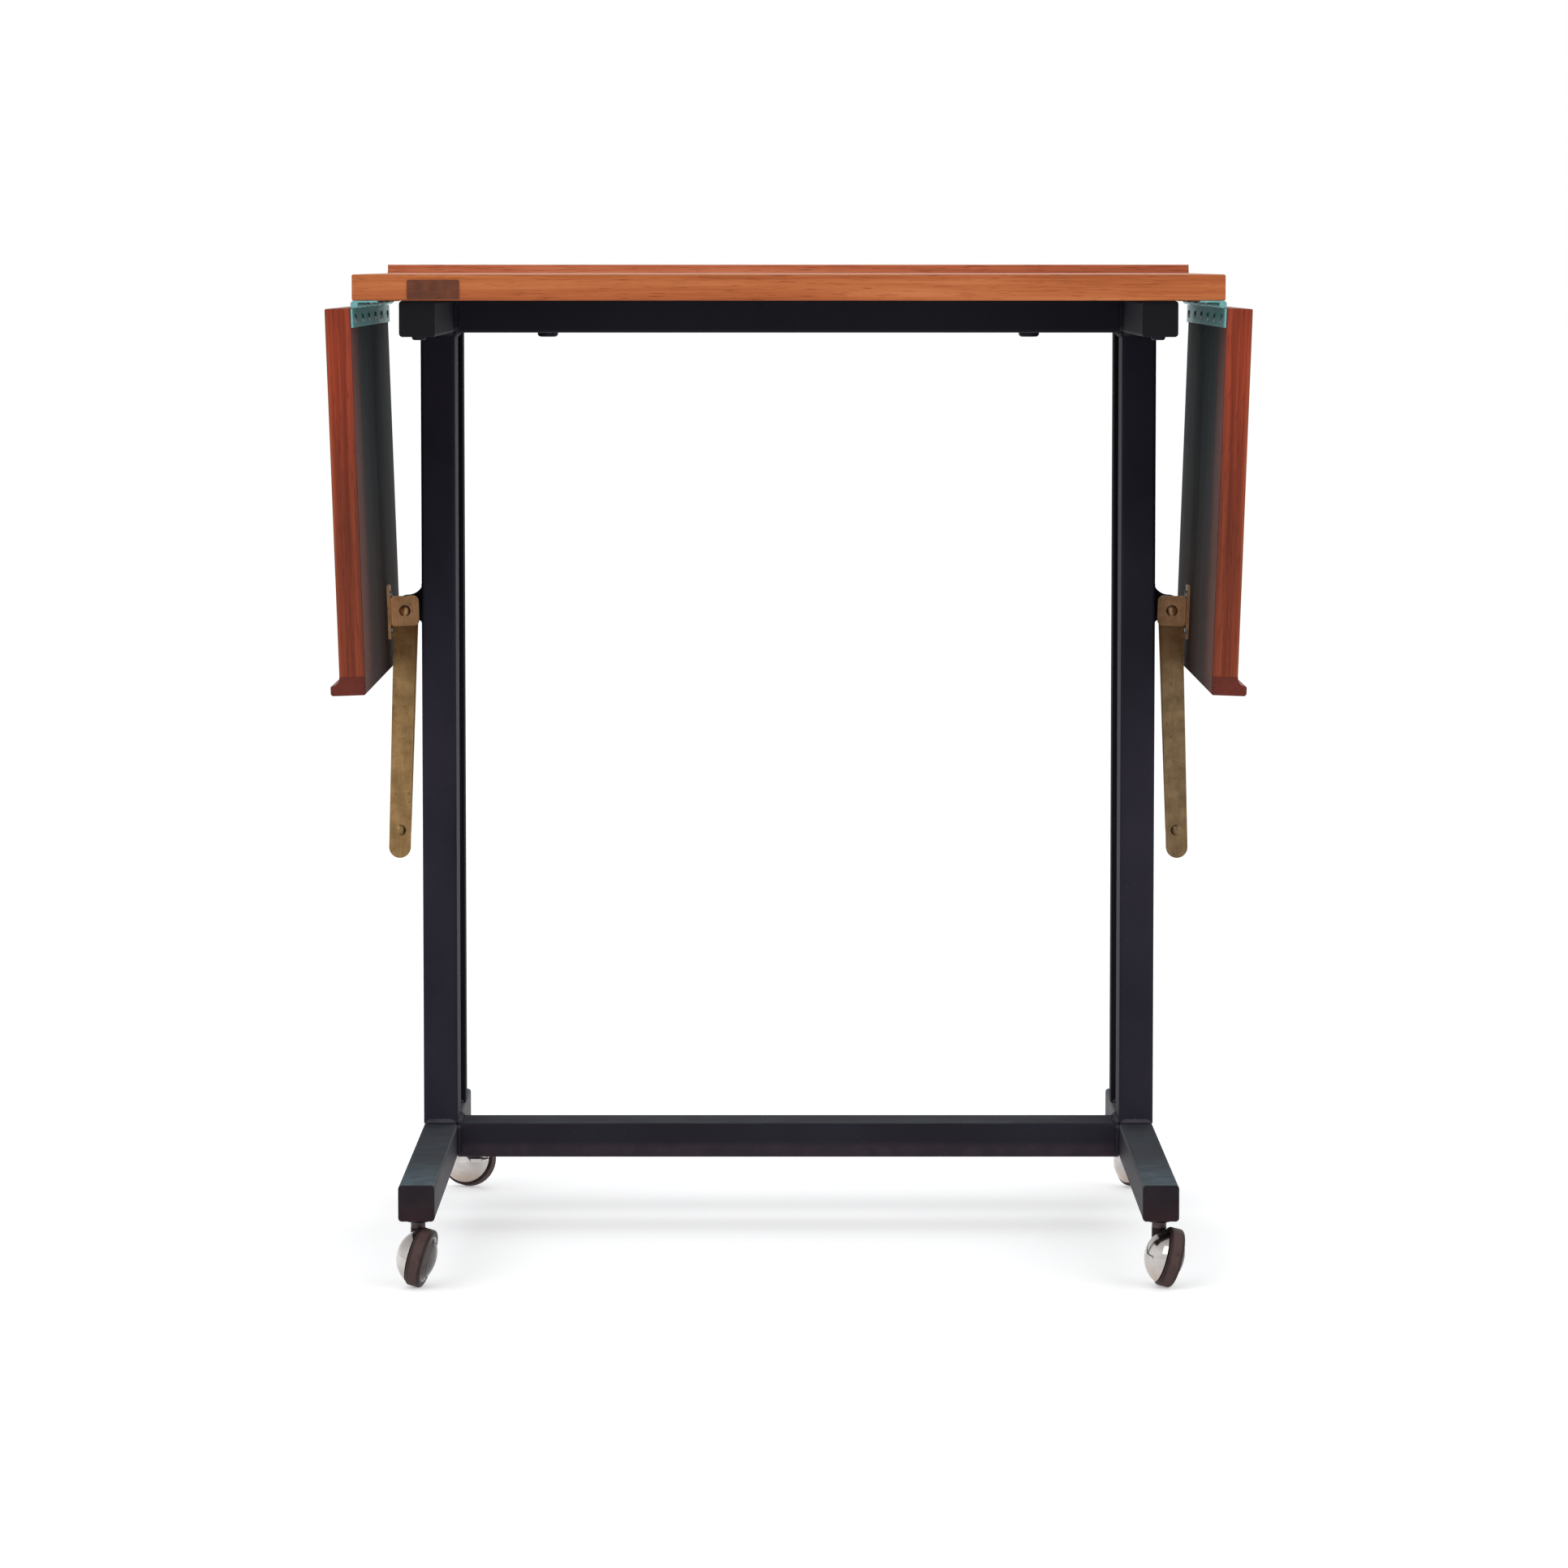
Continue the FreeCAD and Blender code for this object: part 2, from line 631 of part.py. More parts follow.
def make_tyre():
    solid = ring(tyre_radius, hub_radius + press_slack, -tyre_width / 2, tyre_width / 2)
    rims = [edge for edge in solid.Edges
            if edge.Closed and abs(edge.Curve.Radius - tyre_radius) < 1e-6]
    return solid.makeFillet(tyre_round, rims)


def make_hub():
    face = tyre_width / 2
    low = -face + hub_recess
    disc = Part.makeCylinder(hub_radius, face - low, Vector(0, 0, low))
    dome = cap_of_ball(hub_dome_radius, hub_dome_height, face, 1)
    bore = Part.makeCylinder(axle_radius + running_clearance, face - low + 1, Vector(0, 0, low))
    return fused([disc, dome]).cut(bore)


def on_castor(shape):
    """Tilt a wheel part and set it beside a stem that stands at the origin."""
    tilted = turned(shape, ORIGIN, BACK, 90 + wheel_tilt)
    return moved(tilted, castor_side_offset, -castor_trail, wheel_height)


def make_hood():
    dome = cap_of_ball(hood_rim_radius, hood_height, hood_rim, -1)
    inside = cap_of_ball(hood_rim_radius, hood_height, hood_rim, -1, hood_wall)
    boss_low = hood_rim - hood_height + hood_wall / 2
    boss_high = -tyre_width / 2 - hood_gap / 4
    boss = Part.makeCylinder(hood_boss_radius, boss_high - boss_low, Vector(0, 0, boss_low))
    shell = on_castor(fused([dome.cut(inside), boss]))
    room = on_castor(Part.makeCylinder(tyre_radius + wheel_clearance, 3 * tyre_width,
                                       Vector(0, 0, hood_rim)))
    neck_low = wheel_height + hood_boss_radius
    neck = Part.makeCylinder(neck_radius, neck_top - neck_low, Vector(0, 0, neck_low))
    seat = Part.makeCylinder(stem_tail_radius + press_slack, neck_top,
                             Vector(0, 0, stem_tail_bottom))
    axle_seat = on_castor(Part.makeCylinder(axle_radius + press_slack, boss_high - boss_low,
                                            Vector(0, 0, boss_low + hood_wall)))
    hub_room = on_castor(Part.makeCylinder(hub_radius, 3 * tyre_width, Vector(0, 0, hood_rim)))
    return fused([shell, neck.cut([room, hub_room])]).cut([seat, axle_seat])


def make_axle():
    low = hood_rim - hood_height + 1.5 * hood_wall
    return on_castor(Part.makeCylinder(axle_radius, tyre_width / 2 - low, Vector(0, 0, low)))


def make_stem():
    tail = Part.makeCylinder(stem_tail_radius, neck_top - stem_tail_bottom,
                             Vector(0, 0, stem_tail_bottom))
    collar = Part.makeCylinder(stem_collar_radius, stem_collar_height, Vector(0, 0, neck_top))
    post = Part.makeCylinder(stem_radius, stem_top - neck_top, Vector(0, 0, neck_top))
    return fused([tail, collar, post])


def make_castors():
    pieces = dict(stem=make_stem(), hood=make_hood(), axle=make_axle(),
                  wheel=on_castor(make_hub()), tyre=on_castor(make_tyre()))
    for corner, heading in castor_heading.items():
        x = tube_middle if corner.endswith("right") else -tube_middle
        y = castor_y if corner.startswith("rear") else -castor_y
        for name, solid in pieces.items():
            keep(corner + "_castor_" + name, moved(turned(solid, ORIGIN, UP, heading), x, y))


# ---- pivots, for whoever drives the joints ------------------------------------------
def print_pivots():
    level = leaf_point(0)
    def heading(start, end):
        return math.degrees(math.atan2(end.z - start.z, end.x - start.x))
    post_turn = heading(post_pivot, level) - heading(post_pivot, knee)
    leaf_turn = heading(level, post_pivot) % 360 - heading(leaf_pivot, knee) % 360 - hang_turn
    print("hinge axis", round(hinge_x, 4), round(hinge_z, 4), "turn", hang_turn)
    print("leaf pivot", round(leaf_pivot.x, 4), round(leaf_pivot.z, 4))
    print("post pivot", round(post_pivot.x, 4), round(post_pivot.z, 4))
    print("knee", round(knee.x, 4), round(knee.z, 4))
    print("post link ratio", round(post_turn / hang_turn, 6))
    print("leaf link ratio", round(leaf_turn / hang_turn, 6))
    print("links", round((knee - leaf_pivot).Length, 3), round((knee - post_pivot).Length, 3),
          "reach", round(stay_length, 3))
    print("castor stem y", castor_y, "x", tube_middle, "wheel centre z", round(wheel_height, 4))


make_top()
make_frame()
make_board_hinges()
make_stays()
make_leaves()
make_castors()
print_pivots()

os.makedirs("parts", exist_ok=True)
for node, shape in parts.items():
    shape.exportStep("parts/" + node + ".step")
print(len(parts), "nodes")
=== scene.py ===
import json
import math
import random

import bmesh
import bpy
from mathutils import Matrix, Vector


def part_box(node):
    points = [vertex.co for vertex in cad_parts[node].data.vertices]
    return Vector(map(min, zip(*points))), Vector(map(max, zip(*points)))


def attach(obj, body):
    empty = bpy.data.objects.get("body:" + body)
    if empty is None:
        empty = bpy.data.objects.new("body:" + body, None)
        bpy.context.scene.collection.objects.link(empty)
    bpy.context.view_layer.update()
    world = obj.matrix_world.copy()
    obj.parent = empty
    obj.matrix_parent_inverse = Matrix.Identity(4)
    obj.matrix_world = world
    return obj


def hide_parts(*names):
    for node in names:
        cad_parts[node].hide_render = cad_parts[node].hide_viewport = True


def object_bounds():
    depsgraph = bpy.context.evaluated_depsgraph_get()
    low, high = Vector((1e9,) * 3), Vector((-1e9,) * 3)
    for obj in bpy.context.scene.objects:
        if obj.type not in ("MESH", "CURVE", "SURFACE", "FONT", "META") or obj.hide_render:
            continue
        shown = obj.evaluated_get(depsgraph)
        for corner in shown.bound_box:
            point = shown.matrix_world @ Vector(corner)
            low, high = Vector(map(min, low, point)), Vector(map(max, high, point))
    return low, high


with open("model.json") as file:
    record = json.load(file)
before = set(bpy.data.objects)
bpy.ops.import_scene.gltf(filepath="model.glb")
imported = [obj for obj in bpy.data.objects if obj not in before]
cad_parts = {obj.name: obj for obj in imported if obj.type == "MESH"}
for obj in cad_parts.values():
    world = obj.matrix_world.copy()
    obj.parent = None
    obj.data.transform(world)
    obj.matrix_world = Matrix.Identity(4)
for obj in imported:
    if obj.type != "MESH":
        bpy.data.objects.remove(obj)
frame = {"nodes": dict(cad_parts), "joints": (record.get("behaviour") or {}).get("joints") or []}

cad_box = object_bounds()

# Lengths are in metres, colours are linear.
MM = 0.001
SIDES = {"left": -1.0, "right": 1.0}    # and the sign of their X
CORNERS = ("front_left", "front_right", "rear_left", "rear_right")
X, Y, Z = Vector((1, 0, 0)), Vector((0, 1, 0)), Vector((0, 0, 1))


# ---- places read from the frame --------------------------------------------------------
def joint(name):
    return next(j for j in frame["joints"] if j["name"] == name)


def low(node):
    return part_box(node)[0]


def high(node):
    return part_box(node)[1]


# ---- node trees ------------------------------------------------------------------------
class Tree:
    """A material with one Principled shader, and short calls that add nodes to it."""

    def __init__(self, name, **values):
        self.material = bpy.data.materials.new(name)
        self.material.use_nodes = True
        self.tree = self.material.node_tree
        self.shader = self.tree.nodes["Principled BSDF"]
        coordinates = self.add("TexCoord").outputs
        self.place, self.rest_normal = coordinates["Object"], coordinates["Normal"]
        self.normal = self.add("NewGeometry").outputs["Normal"]
        self.set(**values)

    def set(self, **values):
        for name, value in values.items():
            self.feed(self.shader.inputs[name.replace("_", " ")], value)

    def feed(self, socket, value):
        if isinstance(value, bpy.types.NodeSocket):
            self.tree.links.new(value, socket)
        elif isinstance(value, tuple) and len(value) == 3 and socket.type == "RGBA":
            socket.default_value = (*value, 1.0)
        else:
            socket.default_value = value

    def add(self, kind, inputs=None, **settings):
        node = self.tree.nodes.new("ShaderNode" + kind)
        for name, value in settings.items():
            setattr(node, name, value)
        for name, value in (inputs or {}).items():
            self.feed(node.inputs[name], value)
        return node

    def maths(self, operation, a, b=0.0):
        return self.add("Math", {0: a, 1: b}, operation=operation).outputs[0]

    def plus(self, a, b):
        return self.maths("ADD", a, b)

    def minus(self, a, b):
        return self.maths("SUBTRACT", a, b)

    def times(self, a, b):
        return self.maths("MULTIPLY", a, b)

    def absolute(self, a):
        return self.maths("ABSOLUTE", a)

    def total(self, *terms):
        """The sum of (socket, weight) pairs."""
        result = self.times(*terms[0])
        for socket, weight in terms[1:]:
            node = self.add("Math", {0: socket, 1: weight, 2: result}, operation="MULTIPLY_ADD")
            result = node.outputs[0]
        return result

    def vectors(self, operation, a, b=(0.0, 0.0, 0.0)):
        node = self.add("VectorMath", {0: a, 1: b}, operation=operation)
        return node.outputs["Value" if operation in ("DOT_PRODUCT", "LENGTH") else "Vector"]

    def stretched(self, vector, scale):
        return self.vectors("MULTIPLY", vector, scale)

    def along(self, vector, direction, start=0.0):
        """How far a vector reaches along a direction, from a start."""
        distance = self.vectors("DOT_PRODUCT", vector, tuple(direction))
        return self.minus(distance, start) if start else distance

    def noise(self, vector, scale=1.0, detail=2.0, roughness=0.5, distortion=0.0):
        return self.add("TexNoise", {"Vector": vector, "Scale": scale, "Detail": detail,
                                     "Roughness": roughness, "Distortion": distortion}
                        ).outputs["Fac"]

    def step(self, value, start, end, first=0.0, last=1.0):
        """A smooth change from first to last while the value goes from start to end."""
        return self.add("MapRange", {"Value": value, "From Min": start, "From Max": end,
                                     "To Min": first, "To Max": last},
                        interpolation_type="SMOOTHSTEP").outputs["Result"]

    def ramp(self, value, *stops):
        """A colour between (position, colour) stops."""
        node = self.add("ValToRGB", {"Fac": value})
        elements = node.color_ramp.elements
        while len(elements) < len(stops):
            elements.new(0.5)
        for element, (position, colour) in zip(elements, stops):
            element.position = position
            element.color = (*colour, 1.0)
        return node.outputs["Color"]

    def mix(self, factor, a, b, mode="MIX"):
        """From colour a to colour b. Its sockets go by number: the names repeat for each type."""
        node = self.add("Mix", data_type="RGBA", blend_type=mode)
        for index, value in ((0, factor), (6, a), (7, b)):
            self.feed(node.inputs[index], value)
        return node.outputs[2]

    def edges(self, radius, sharp=0.85, flat=0.995):
        """1 along the edges of a shape and 0 on its faces, by how far a rounded normal turns."""
        rounded = self.add("Bevel", {"Radius": radius}, samples=4).outputs["Normal"]
        return self.step(self.vectors("DOT_PRODUCT", rounded, self.normal), sharp, flat, 1.0, 0.0)

    def facing(self, direction):
        """How far a face looks along a direction, as the piece stands at rest."""
        return self.along(self.rest_normal, direction)

    def upward(self, start=0.6, end=0.95):
        """1 on faces that look up, and 0 on walls and undersides."""
        return self.step(self.facing(Z), start, end)

    def bump(self, *layers):
        """Stack (height, depth in metres) layers and feed them to the shader."""
        normal = None
        for height, depth in layers:
            node = self.add("Bump", {"Height": height, "Strength": 1.0, "Distance": depth})
            if normal is not None:
                self.feed(node.inputs["Normal"], normal)
            normal = node.outputs["Normal"]
        self.set(Normal=normal)


# ---- wood ------------------------------------------------------------------------------
# Four tones for each piece, from dark to light.
TEAK_TOP = ((0.230, 0.050, 0.014), (0.400, 0.103, 0.030), (0.500, 0.147, 0.047),
            (0.600, 0.215, 0.085))
TEAK_STRIP = ((0.220, 0.045, 0.015), (0.380, 0.090, 0.032), (0.520, 0.150, 0.062),
              (0.620, 0.220, 0.100))
# The leaves are the same teak as the board; their darker tones are painted shade, as they hang
# under it.
TEAK_LEAF = ((0.115, 0.020, 0.008), (0.215, 0.040, 0.017), (0.295, 0.057, 0.025),
             (0.370, 0.090, 0.040))
TEAK_LIP = ((0.080, 0.014, 0.008), (0.165, 0.030, 0.018), (0.225, 0.042, 0.025),
            (0.290, 0.070, 0.040))
TONE_STOPS = (0.34, 0.44, 0.52, 0.64)
PALE_BAND, DARK_BAND = (1.16, 1.34, 1.12), (0.80, 0.64, 0.66)

STAVE_WIDTH = 0.0843        # of the boards that a panel is glued up from
SEAM_START = -0.011         # one of their seams, off the middle
STAVE_CONTRAST = 0.13       # how far their tones differ
RING_BOW = 6.0              # how strongly the end grain's rings bend, per metre
RING_WANDER = 7.0 * MM      # how far the figure pushes them
RING_HALF = 1.2 * MM        # half the distance from ring to ring

# The first is dark stain with a painted blue-grey reflection; the second is the stain alone.
COOL_STAIN_AND_SHEEN = ((0.0085, 0.012, 0.0135), (0.017, 0.025, 0.028))
STAIN_WARM = ((0.022, 0.012, 0.009), (0.036, 0.019, 0.014))
WARM_HEIGHT = 0.18          # up a hanging leaf, the stain turns from warm to cool, which carries a painted reflection
HANDLED_DEPTH = 115.0 * MM  # behind a leaf's front edge, hands have thinned the stain


def stave_figure(tree, place, across, width):
    """A place that jumps from one glued board to the next, and a shade for each from 0 to 1."""
    index = tree.maths("FLOOR", tree.maths("DIVIDE", across, width))
    shade = tree.add("TexWhiteNoise", {"W": index}, noise_dimensions="1D").outputs["Value"]
    jump = tree.add("CombineXYZ", {"X": tree.times(shade, 7.0), "Z": tree.times(shade, 3.0)})
    return tree.vectors("ADD", place, jump.outputs["Vector"]), shade


def end_grain(tree, across, through, figure, tones):
    """Growth rings, bent over the width of a board."""
    rings = tree.total((tree.times(across, across), RING_BOW), (through, 1.0),
                       (figure, RING_WANDER))
    late = tree.step(tree.maths("PINGPONG", rings, RING_HALF), 0.35 * MM, 1.0 * MM)
    return tree.ramp(late, (0.0, tones[0]), (1.0, tones[1]))


def underside_stain(tree, place, depth):
    """Where dark stain covers the wood, from 0 to 1, and its colour, whose cool tone carries a
    painted blue-grey reflection.
    """
    front, bottom = low("right_leaf_panel").y, low("right_leaf_panel").z
    share = tree.total((tree.step(depth, 0.3 * MM, 4.8 * MM, 1.0, 0.0), 0.45),
                       (tree.step(depth, 0.2 * MM, 1.0 * MM, 1.0, 0.0), 0.55))
    handled = tree.step(tree.along(tree.place, Y), front - 5.0 * MM, front + HANDLED_DEPTH,
                        0.45, 0.0)
    share = tree.times(share, tree.minus(1.0, handled))
    cloud = tree.noise(tree.stretched(place, (5.0, 60.0, 60.0)), detail=4.0)
    cool, warm = (tree.ramp(cloud, (0.3, dark), (0.7, light))
                  for dark, light in (COOL_STAIN_AND_SHEEN, STAIN_WARM))
    low_down = tree.step(tree.along(tree.place, Z), bottom, bottom + WARM_HEIGHT, 1.0, 0.0)
    return share, tree.mix(low_down, cool, warm)


def teak(name, tones, fibres, grain, staves=None, under=None, glow=None, edge_darkening=0.30):
    """Oiled teak. fibres is their direction, and grain gives a vector whose X runs along them;
    staves is the width of the glued boards; under gives the distance from the stained underside;
    glow gives where the wood is brighter, and by how much; edge_darkening is how much darker
    its edges are."""
    tree = Tree(name, Specular_IOR_Level=0.15)
    place = grain(tree)
    across, through = tree.along(place, Y, start=SEAM_START), tree.along(place, Z)
    if staves:
        place, shade = stave_figure(tree, place, across, staves)
        from_seam = tree.maths("PINGPONG", across, staves / 2)
        across = tree.minus(staves / 2, from_seam)

    figure = tree.noise(tree.stretched(place, (1.7, 30.0, 30.0)), detail=3.0, distortion=0.9)
    streak = tree.noise(tree.stretched(place, (3.0, 130.0, 130.0)), detail=3.0, roughness=0.6)
    fibre = tree.noise(tree.stretched(place, (14.0, 620.0, 620.0)), detail=2.0)
    pore = tree.step(tree.noise(tree.stretched(place, (55.0, 1500.0, 1500.0)), detail=1.0),
                     0.60, 0.70)
    cloud = tree.noise(place, scale=7.0, detail=2.0)
    band = tree.noise(tree.stretched(place, (1.1, 75.0, 75.0)), detail=1.0)

    tone = tree.total((figure, 0.46), (streak, 0.34), (fibre, 0.20))
    if staves:
        tone = tree.total((tone, 1.0), (shade, STAVE_CONTRAST))
        tone = tree.minus(tone, STAVE_CONTRAST / 2)
    colour = tree.ramp(tone, *zip(TONE_STOPS, tones))
    colour = tree.mix(tree.step(cloud, 0.35, 0.7, 0.0, 0.22), colour, tones[1])
    colour = tree.mix(tree.step(band, 0.56, 0.70, 0.0, 0.55), colour, PALE_BAND, mode="MULTIPLY")
    colour = tree.mix(tree.step(band, 0.32, 0.45, 0.60, 0.0), colour, DARK_BAND, mode="MULTIPLY")

    ends = tree.step(tree.absolute(tree.facing(fibres)), 0.6, 0.9, 0.0, 0.8)
    colour = tree.mix(ends, colour, end_grain(tree, across, through, figure, tones))
    colour = tree.mix(tree.times(pore, 0.45), colour, tones[0], mode="MULTIPLY")
    if staves:
        seam = tree.step(from_seam, 0.10 * MM, 0.45 * MM, 0.35, 0.0)
        colour = tree.mix(seam, colour, tones[0])
    wear_and_highlight = tree.edges(1.2 * MM)
    colour = tree.mix(tree.times(wear_and_highlight, edge_darkening), colour, tones[0])
    if glow:
        for share, tint in glow(tree):
            colour = tree.mix(share, colour, tint, mode="MULTIPLY")

    gloss = tree.plus(tree.total((fibre, 0.16), (cloud, 0.10), (pore, 0.12)), 0.36)
    if under:
        # The underside's colour is dark stain with a painted blue-grey reflection.
        stain, dirt_and_sheen = underside_stain(tree, place, under(tree))
        colour = tree.mix(stain, colour, dirt_and_sheen)
        gloss = tree.total((gloss, 1.0), (stain, 0.36))
    tree.set(Base_Color=colour, Roughness=gloss)
    tree.bump((fibre, 0.05 * MM), (tree.minus(1.0, pore), 0.06 * MM))
    return tree.material


# The hanging leaf on the right. The left one is its mirror image, and shares its wood.
leaf_hinge = joint("right_leaf_hinge")
hinge_point = Vector(leaf_hinge["pos_m"])
lean = math.radians(leaf_hinge["range_deg"][1] - 90.0)
LEAF_LENGTH = Vector((-math.sin(lean), 0.0, -math.cos(lean)))
LEAF_THICKNESS = Vector((math.cos(lean), 0.0, -math.sin(lean)))
KNUCKLE = low("top_board").z - hinge_point.z    # hinge axis to the wood above it


def mirrored_place(tree):
    """The place with its X folded to the right-hand side."""
    split = tree.add("SeparateXYZ", {"Vector": tree.place}).outputs
    joined = tree.add("CombineXYZ", {"X": tree.absolute(split["X"]), "Y": split["Y"],
                                     "Z": split["Z"]})
    return joined.outputs["Vector"]


def leaf_grain(first, second):
    """A grain vector on a hanging leaf, from two directions in it."""
    def grain(tree):
        place = mirrored_place(tree)
        parts = [tree.along(place, direction) for direction in (first, second, LEAF_THICKNESS)]
        return tree.add("CombineXYZ", dict(zip("XYZ", parts))).outputs["Vector"]
    return grain


def leaf_depth(tree):
    """The distance from the face of a leaf that looks inwards while it hangs."""
    start = hinge_point.dot(LEAF_THICKNESS) + KNUCKLE
    return tree.along(mirrored_place(tree), LEAF_THICKNESS, start=start)


def leaf_glow(tree):
    """The ends of the leaves are a brighter orange towards their hinges. The leaves' tones carry
    painted shade, and the faces that are on top when they are up are lifted out of it, towards
    the tone of the board."""
    down = tree.along(mirrored_place(tree), LEAF_LENGTH, start=hinge_point.dot(LEAF_LENGTH))
    half_width = high("right_leaf_panel").y
    ends = tree.step(tree.absolute(tree.along(tree.place, Y)), half_width - 30.0 * MM,
                     half_width - 2.0 * MM)
    orange = tree.times(tree.step(down, 0.03, 0.17, 1.0, 0.0), ends)
    top = high("top_board").z - low("top_board").z
    # The outer face is taken out of the painted shade, back towards the board's tone.
    unshaded_face = tree.step(leaf_depth(tree), top - 2.2 * MM, top - 0.4 * MM)
    orange = tree.times(orange, tree.minus(1.0, unshaded_face))
    return (orange, (1.62, 1.26, 1.16)), (unshaded_face, (1.42, 1.80, 1.55))


def board_depth(tree):
    """The distance from the board's underside, scaled up so that its edges stay clean."""
    return tree.times(tree.along(tree.place, Z, start=low("top_board").z), 12.0)


# ---- paint and plastic -----------------------------------------------------------------
BLACK_PAINT = ((0.0110, 0.0098, 0.0150), (0.0185, 0.0160, 0.0250))


def painted(name, dust_and_highlight_reach=(0.6, 0.95), dust_and_highlight_tone=(0.030, 0.036, 0.043), reflected=None,
            reflection_tone=(0.073, 0.106, 0.125), sheen=0.12, dull=0.44, strength=1.0):
    """Satin black paint. dust_and_highlight_reach says how far up a face has to look to be dusty,
    which on the welds is a painted highlight; reflected gives where a painted reflection lies on
    the paint, from 0 to 1; strength scales its colour."""
    tree = Tree(name, Specular_IOR_Level=sheen)
    cloud = tree.noise(tree.place, scale=11.0, detail=4.0)
    peel = tree.noise(tree.place, scale=900.0, detail=2.0)
    speck = tree.step(tree.noise(tree.place, scale=420.0, detail=1.0), 0.72, 0.80)
    darker, lighter = (tuple(strength * value for value in tone) for tone in BLACK_PAINT)
    colour = tree.ramp(cloud, (0.30, darker), (0.70, lighter))
    colour = tree.mix(tree.times(speck, 0.25), colour, (0.06, 0.06, 0.06))
    upward = tree.upward(*dust_and_highlight_reach)
    dust_and_highlight = tree.step(tree.noise(tree.place, scale=38.0, detail=5.0), 0.30, 0.75, 0.35, 0.85)
    colour = tree.mix(tree.times(dust_and_highlight, upward), colour, dust_and_highlight_tone)
    if reflected:
        # A painted reflection, in patches, on the mask given.
        grey = tree.step(tree.noise(tree.place, scale=70.0, detail=5.0), 0.30, 0.70, 0.5, 1.0)
        colour = tree.mix(tree.times(grey, reflected(tree)), colour, reflection_tone)
    wear_and_highlight = tree.times(tree.edges(0.8 * MM, sharp=0.9),
                      tree.step(tree.noise(tree.place, scale=60.0, detail=4.0), 0.50, 0.68))
    colour = tree.mix(tree.times(wear_and_highlight, 0.5), colour, (0.075, 0.075, 0.080))
    rough = tree.total((cloud, 0.14), (peel, 0.06), (upward, 0.34))
    tree.set(Base_Color=colour, Roughness=tree.plus(rough, dull))
    tree.bump((peel, 0.02 * MM), (speck, 0.03 * MM))
    return tree.material


def rail_floor_reflection(tree):
    """The lower half of the bottom rail, which carries a painted brown reflection of the floor.
    """
    middle = (low("bottom_rail").z + high("bottom_rail").z) / 2
    return tree.step(tree.along(tree.place, Z), middle - 6.0 * MM, middle, 1.0, 0.0)


def foot_end_reflection(tree):
    """A painted grey-blue reflection on the tops of the feet, growing towards their two ends."""
    reach = tree.absolute(tree.along(tree.place, Y))
    ends = tree.step(reach, 0.10, high("right_foot").y, 0.05, 1.0)
    return tree.times(ends, tree.upward(0.3, 0.95))


def cap_plastic():
    """Black plastic, ruddier low on the feet's caps, and darker on the arms' caps, which the
    board keeps in its shade."""
    tree = Tree("black_cap_plastic", Specular_IOR_Level=0.10)
    grain = tree.noise(tree.place, scale=1500.0, detail=2.0)
    cloud = tree.noise(tree.place, scale=60.0, detail=3.0)
    colour = tree.ramp(cloud, (0.30, (0.013, 0.010, 0.013)), (0.70, (0.024, 0.018, 0.022)))
    height = tree.along(tree.place, Z)
    ruddy = tree.step(height, low("right_foot").z, high("right_foot").z - 5.0 * MM, 1.0, 0.0)
    colour = tree.mix(tree.times(ruddy, 0.6), colour, (0.031, 0.013, 0.015))
    # Painted shade: the arms' caps, under the board, are darkened.
    board_shade = tree.step(height, 0.3, 0.5)
    colour = tree.mix(tree.times(board_shade, 0.9), colour, (0.0035, 0.004, 0.0055))
    # A painted highlight: the caps' rims are lighter, where light catches them.
    rim = tree.edges(0.9 * MM)
    colour = tree.mix(tree.times(rim, 0.35), colour, (0.045, 0.043, 0.048))
    rough = tree.total((grain, 0.12), (cloud, 0.10), (rim, 0.10))
    tree.set(Base_Color=colour, Roughness=tree.plus(rough, 0.46))
    tree.bump((grain, 0.03 * MM))
    return tree.material


# ---- metals ----------------------------------------------------------------------------
def brass(name, dark, middle, light, pivot_shade=None):
    """Aged brass, from dark to light tones. pivot_shade gives where painted shade turns it dark
    red-brown.
    """
    tree = Tree(name, Metallic=1.0)
    brushed = tree.noise(tree.stretched(tree.place, (1600.0, 1600.0, 45.0)), detail=2.0)
    patina = tree.noise(tree.place, scale=85.0, detail=5.0, roughness=0.6)
    spots = tree.step(tree.noise(tree.place, scale=260.0, detail=2.0), 0.62, 0.74)
    colour = tree.ramp(tree.total((patina, 0.75), (brushed, 0.25)),
                       (0.32, dark), (0.50, middle), (0.70, light))
    colour = tree.mix(tree.times(spots, 0.35), colour, (0.085, 0.055, 0.030))
    rub = tree.edges(0.5 * MM, sharp=0.9)
    colour = tree.mix(tree.times(rub, 0.45), colour, (0.560, 0.380, 0.170))
    # Painted shade under the brackets darkens the links there.
    if pivot_shade:
        dull = tree.times(pivot_shade(tree), tree.step(patina, 0.25, 0.60, 1.0, 0.7))
        colour = tree.mix(dull, colour, (0.098, 0.042, 0.016))
    rough = tree.total((patina, 0.30), (brushed, 0.12), (spots, 0.15))
    tree.set(Base_Color=colour, Roughness=tree.plus(rough, 0.18))
    tree.bump((brushed, 0.008 * MM), (patina, 0.02 * MM))
    return tree.material


def link_pivot_shade(tree):
    """Painted shade on the links, strongest where they hang from their pivots under the brackets.
    """
    pivot = joint("right_post_link_pivot")["pos_m"][2]
    return tree.step(tree.along(tree.place, Z), pivot - 58.0 * MM, pivot - 20.0 * MM, 0.0, 0.9)


